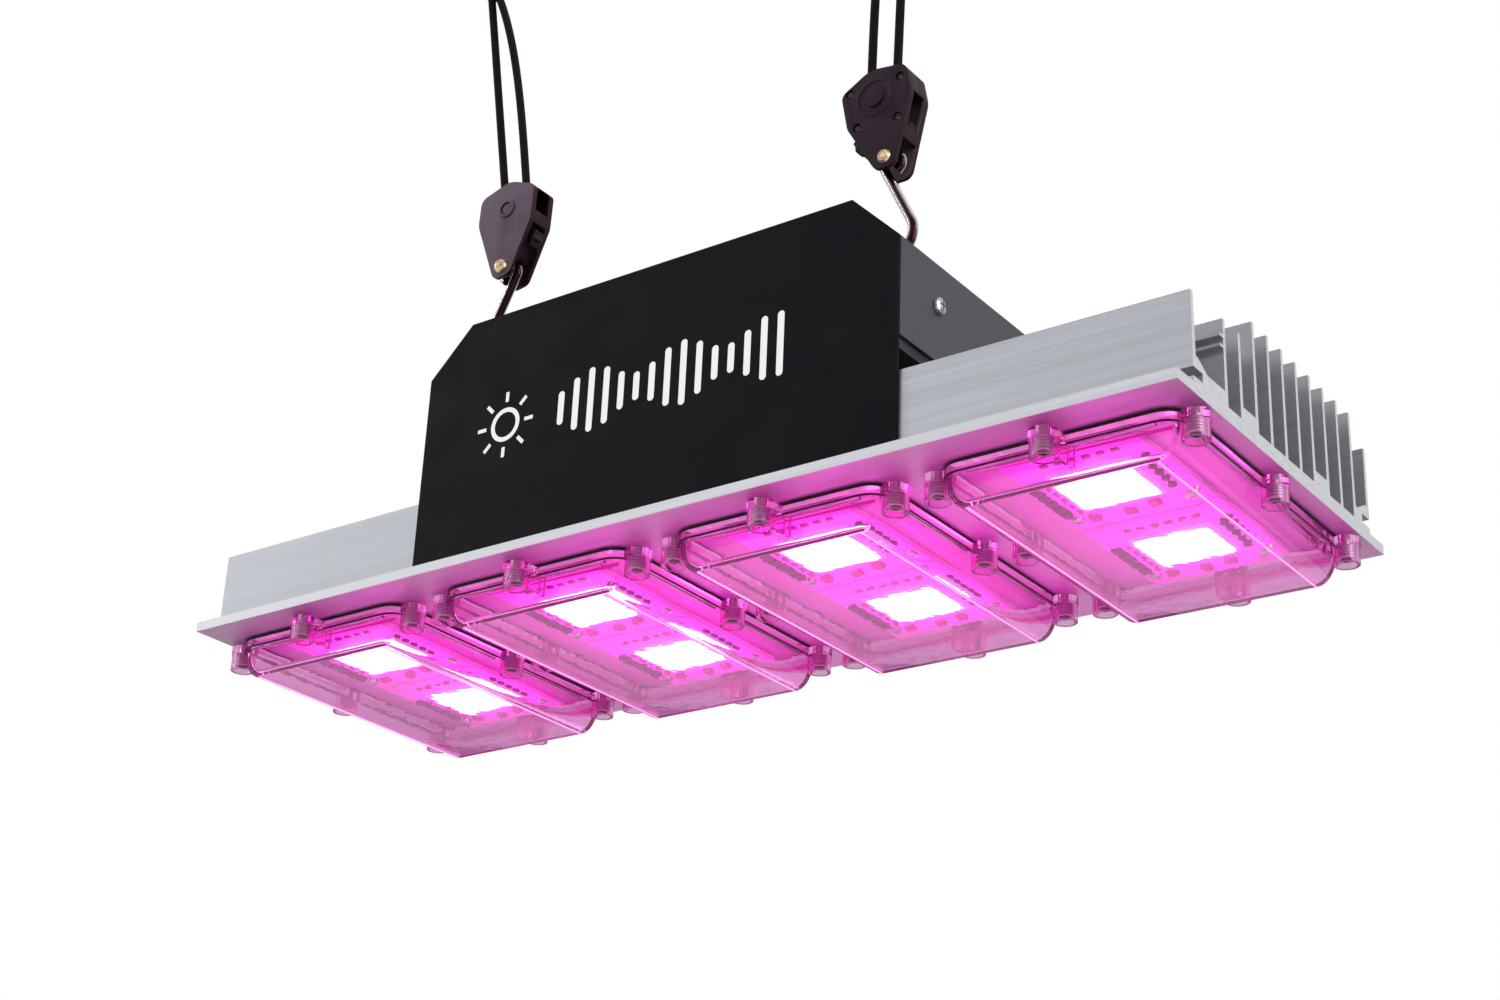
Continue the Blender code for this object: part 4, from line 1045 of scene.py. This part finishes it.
def board_parts(first, xs):
    """The emitters, chips, small parts and screws on the LED boards."""
    frames, lights, dark, small, screws = [], [], [], [], []
    for sign in (-0.5, 0.5):
        y = sign * BOARD_PITCH
        rim = plate("rim", rectangle(18.6, 16.6, 1.5, (0, y)), BOARD_FACE - 1.0, BOARD_FACE, "Z")
        well = rectangle(17.0, 15.0, 1.0, (0, y))
        frames.append(cut(rim, plate("well", well, BOARD_FACE - 2, BOARD_FACE - 0.4, "Z")))
        light = rectangle(16.9, 14.9, 3.2, (0, y))
        lights.append(plate("light", light, BOARD_FACE - 1.3, BOARD_FACE - 0.45, "Z"))
        some_dark, some_small = chips(y)
        dark += some_dark
        small += some_small
        for x in (-25.0, 25.0):
            low = BOARD_FACE - 1.8
            head = [(0, BOARD_FACE), (2.9, BOARD_FACE), (2.7, low + 0.5), (1.6, low), (0, low)]
            screw = turned("screw", head, "Z", (x, y + 23, 0), 20)
            groove = box("slot", (x - 2.2, y + 22.7, low - 1), (x + 2.2, y + 23.3, low + 0.6))
            screws.append(cut(screw, groove))
    groups = (
        ("emitter_rim", frames, CERAMIC, "led_board"),
        ("emitter", lights, EMITTER, "led_board"),
        ("driver_chips", dark, CHIP, "sheave_nylon"),
        ("small_parts", small, PASSIVE, "sheave_nylon"),
        ("board_screws", screws, STEEL, "zinc_screw"),
    )
    for name, shapes, mat, slot in groups:
        piece = show(merged(name, shapes), mat, "fixture", first)
        for copy in copies(piece, name, "fixture", xs):
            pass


# ---------------------------------------------------------------- housing


def end_screws():
    """Pan-head screws with a cross recess in the housing's ends."""
    for i in range(4):
        low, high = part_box(f"end_screw_{i + 1}")
        right = high.x > 0
        head_x = high.x if right else low.x
        face = (head_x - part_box("heat_sink")[0].x) / MM
        outward = 1 if right else -1
        base = face - outward * 2.9
        dome = arc((0, -4.0), 6.9, 90, 58, 5)
        profile = [(r, h) for r, h in dome] + [(3.9, 1.2), (3.9, 0.3), (1.9, 0.3), (1.9, -6.5), (0, -6.5)]
        head = turned(f"cover_screw_{i + 1}", profile, "X", (0, 0, 0), 32)
        cross = [box("slot", (1.5, -w, -h), (4, w, h)) for w, h in ((2.2, 0.45), (0.45, 2.2))]
        cut(head, *cross)
        y = ((low.y + high.y) / 2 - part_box("heat_sink")[0].y) / MM
        z = ((low.z + high.z) / 2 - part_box("heat_sink")[0].z) / MM
        turn = Matrix.Identity(4) if right else Matrix.Rotation(math.pi, 4, "Z")
        show(head, STEEL, "fixture", FIXTURE @ Matrix.Translation((base, y, z)) @ turn)
        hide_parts(f"end_screw_{i + 1}")


def panel_motif():
    """A plain printed motif on the front panel: a sun sign and a row of bars."""
    low, high = PANEL_FACE - 0.12, PANEL_FACE + 0.02
    signs = []
    centre = (179.0, 71.0)
    ring = plate("disc", arc(centre, 8.5, 0, 354, 59), low, high, "Y")
    signs.append(cut(ring, plate("hole", arc(centre, 6.3, 0, 354, 59), low - 1, high + 1, "Y")))
    for i in range(8):
        angle = math.tau * i / 8
        along = Vector((math.cos(angle), math.sin(angle)))
        side = Vector((-along.y, along.x)) * 0.9
        near, far = Vector(centre) + along * 11.5, Vector(centre) + along * 16.5
        corners = (near - side, far - side, far + side, near + side)
        signs.append(plate("ray", [tuple(p) for p in corners], low, high, "Y"))
    for i in range(15):
        tall = 7.0 + 9.0 * math.sin(0.55 * i + 0.4) ** 2
        x = 212.0 + 8.6 * i
        signs.append(plate("bar", rectangle(1.7, tall, 1.65, (x, centre[1]), 5), low, high, "Y"))
    show(merged("panel_motif", signs), WHITE_INK, "fixture")


def housing():
    """Rounded edges on the panels, the screws and the printed motif."""
    for name in ("front_panel", "back_panel"):
        edges = NODES[name].modifiers.new("edges", "BEVEL")
        edges.width = PANEL_ROUNDING * MM
        edges.segments = 2
        edges.limit_method = "ANGLE"
        edges.angle_limit = math.radians(40)
    end_screws()
    panel_motif()


def paint_frame():
    """Materials for the CAD nodes that stay in view."""
    looks = {
        "heat_sink": ALUMINIUM,
        "front_panel": BLACK_PAINT,
        "back_panel": BLACK_PAINT,
        "housing_cover": LIT_BLACK_COAT,
        "chassis_tray": GALVANISED,
        "led_driver_1": DRIVER_CASE,
        "led_driver_2": DRIVER_CASE,
        "terminal_block": TERMINAL,
        "cable_gland": GLAND,
        "gland_nut": GLAND,
    }
    looks.update({f"led_board_{i + 1}": BOARD for i in range(2 * MODULES)})
    looks.update({f"lens_gasket_{i + 1}": RUBBER for i in range(MODULES)})
    for side, *_ in HANGERS:
        looks[f"{side}_sheave"] = DARK_NYLON
        looks[f"{side}_sheave_axle"] = STEEL
        looks[f"{side}_release_lever"] = DARK_NYLON
    for name, mat in looks.items():
        NODES[name].data.materials.clear()
        NODES[name].data.materials.append(mat)


# ---------------------------------------------------------------- light and surroundings


def lamp(name, place, aim, size, power, colour=(1, 1, 1), hidden=False):
    """A soft box in metres and watts; a hidden one lights surfaces but isn't seen in gloss or glass."""
    data = bpy.data.lights.new(name, "AREA")
    data.shape = "RECTANGLE"
    data.size, data.size_y = size
    data.energy = power
    data.color = colour
    obj = bpy.data.objects.new(name, data)
    bpy.context.scene.collection.objects.link(obj)
    obj.location = place
    obj.rotation_mode = "QUATERNION"
    obj.rotation_quaternion = (Vector(aim) - Vector(place)).to_track_quat("-Z", "Y")
    if hidden:
        obj.visible_glossy = False
        obj.visible_transmission = False


def surroundings():
    """A white studio, dark below to anything but the camera, its soft boxes, the LEDs' glow and the floor."""
    scene = bpy.context.scene
    scene.view_settings.view_transform = "Standard"
    world = bpy.data.worlds.new("studio")
    world.use_nodes = True
    scene.world = world
    nodes, links = world.node_tree.nodes, world.node_tree.links
    seen, lit = nodes["Background"], nodes.new("ShaderNodeBackground")
    seen.inputs[0].default_value = (1.0, 1.0, 1.0, 1.0)
    lit.inputs[0].default_value = (0.95, 0.96, 1.0, 1.0)
    where, parts = nodes.new("ShaderNodeTexCoord"), nodes.new("ShaderNodeSeparateXYZ")
    height = nodes.new("ShaderNodeMapRange")
    for socket, value in (("From Min", -0.35), ("From Max", 0.3), ("To Min", 0.04), ("To Max", 0.55)):
        height.inputs[socket].default_value = value
    links.new(where.outputs["Generated"], parts.inputs[0])
    links.new(parts.outputs["Z"], height.inputs["Value"])
    links.new(height.outputs["Result"], lit.inputs[1])
    mix, path = nodes.new("ShaderNodeMixShader"), nodes.new("ShaderNodeLightPath")
    links.new(path.outputs["Is Camera Ray"], mix.inputs[0])
    links.new(lit.outputs[0], mix.inputs[1])
    links.new(seen.outputs[0], mix.inputs[2])
    links.new(mix.outputs[0], nodes["World Output"].inputs["Surface"])

    lamp("key", (1.8, -0.1, 0.1), (0.1, 0.0, -0.35), (1.2, 1.4), 14.0)
    lamp("front", (-0.9, -1.8, 0.4), (0.0, 0.0, -0.3), (1.4, 1.2), 3.6)
    lamp("left_strip", (-1.5, -0.7, 0.0), (0.0, 0.0, -0.25), (0.07, 1.6), 3.8)
    lamp("above", (0.0, 0.2, 1.6), (0.0, 0.0, -0.3), (1.6, 1.6), 5.0)
    for i, x in enumerate(module_places()):
        inside = FIXTURE @ Vector((x, CENTRE_Y, WINDOW_Z + 5))
        below = FIXTURE @ Vector((x, CENTRE_Y, WINDOW_Z - 52))
        above = FIXTURE @ Vector((x, CENTRE_Y, 0))
        lamp(f"glow_{i + 1}", inside, above, (0.095, 0.14), 0.030, (1.0, 0.05, 0.75), hidden=True)
        power = 0.18 if i else 0.12
        lamp(f"spill_{i + 1}", below, above, (0.125, 0.18), power, (1.0, 0.02, 0.60), hidden=True)

    bm = bmesh.new()
    bmesh.ops.create_grid(bm, x_segments=1, y_segments=1, size=8.0)
    floor = mesh_object("studio_floor", bm)
    floor.location.z = cad_box[0].z - 1.5
    grey = (0.9, 0.9, 0.9)
    paint = material("studio_floor", grey, 0.7, Emission_Color=(1, 1, 1, 1), Emission_Strength=0.22)
    floor.data.materials.append(paint)
    floor.visible_diffuse = False


camera()
for side, half_turns, lean, free in HANGERS:
    ropes_and_top(side, half_turns, lean, free)
for side, half_turns, lean, free in HANGERS:
    ratchet(side, half_turns, lean)
lens_modules()
housing()
paint_frame()
surroundings()
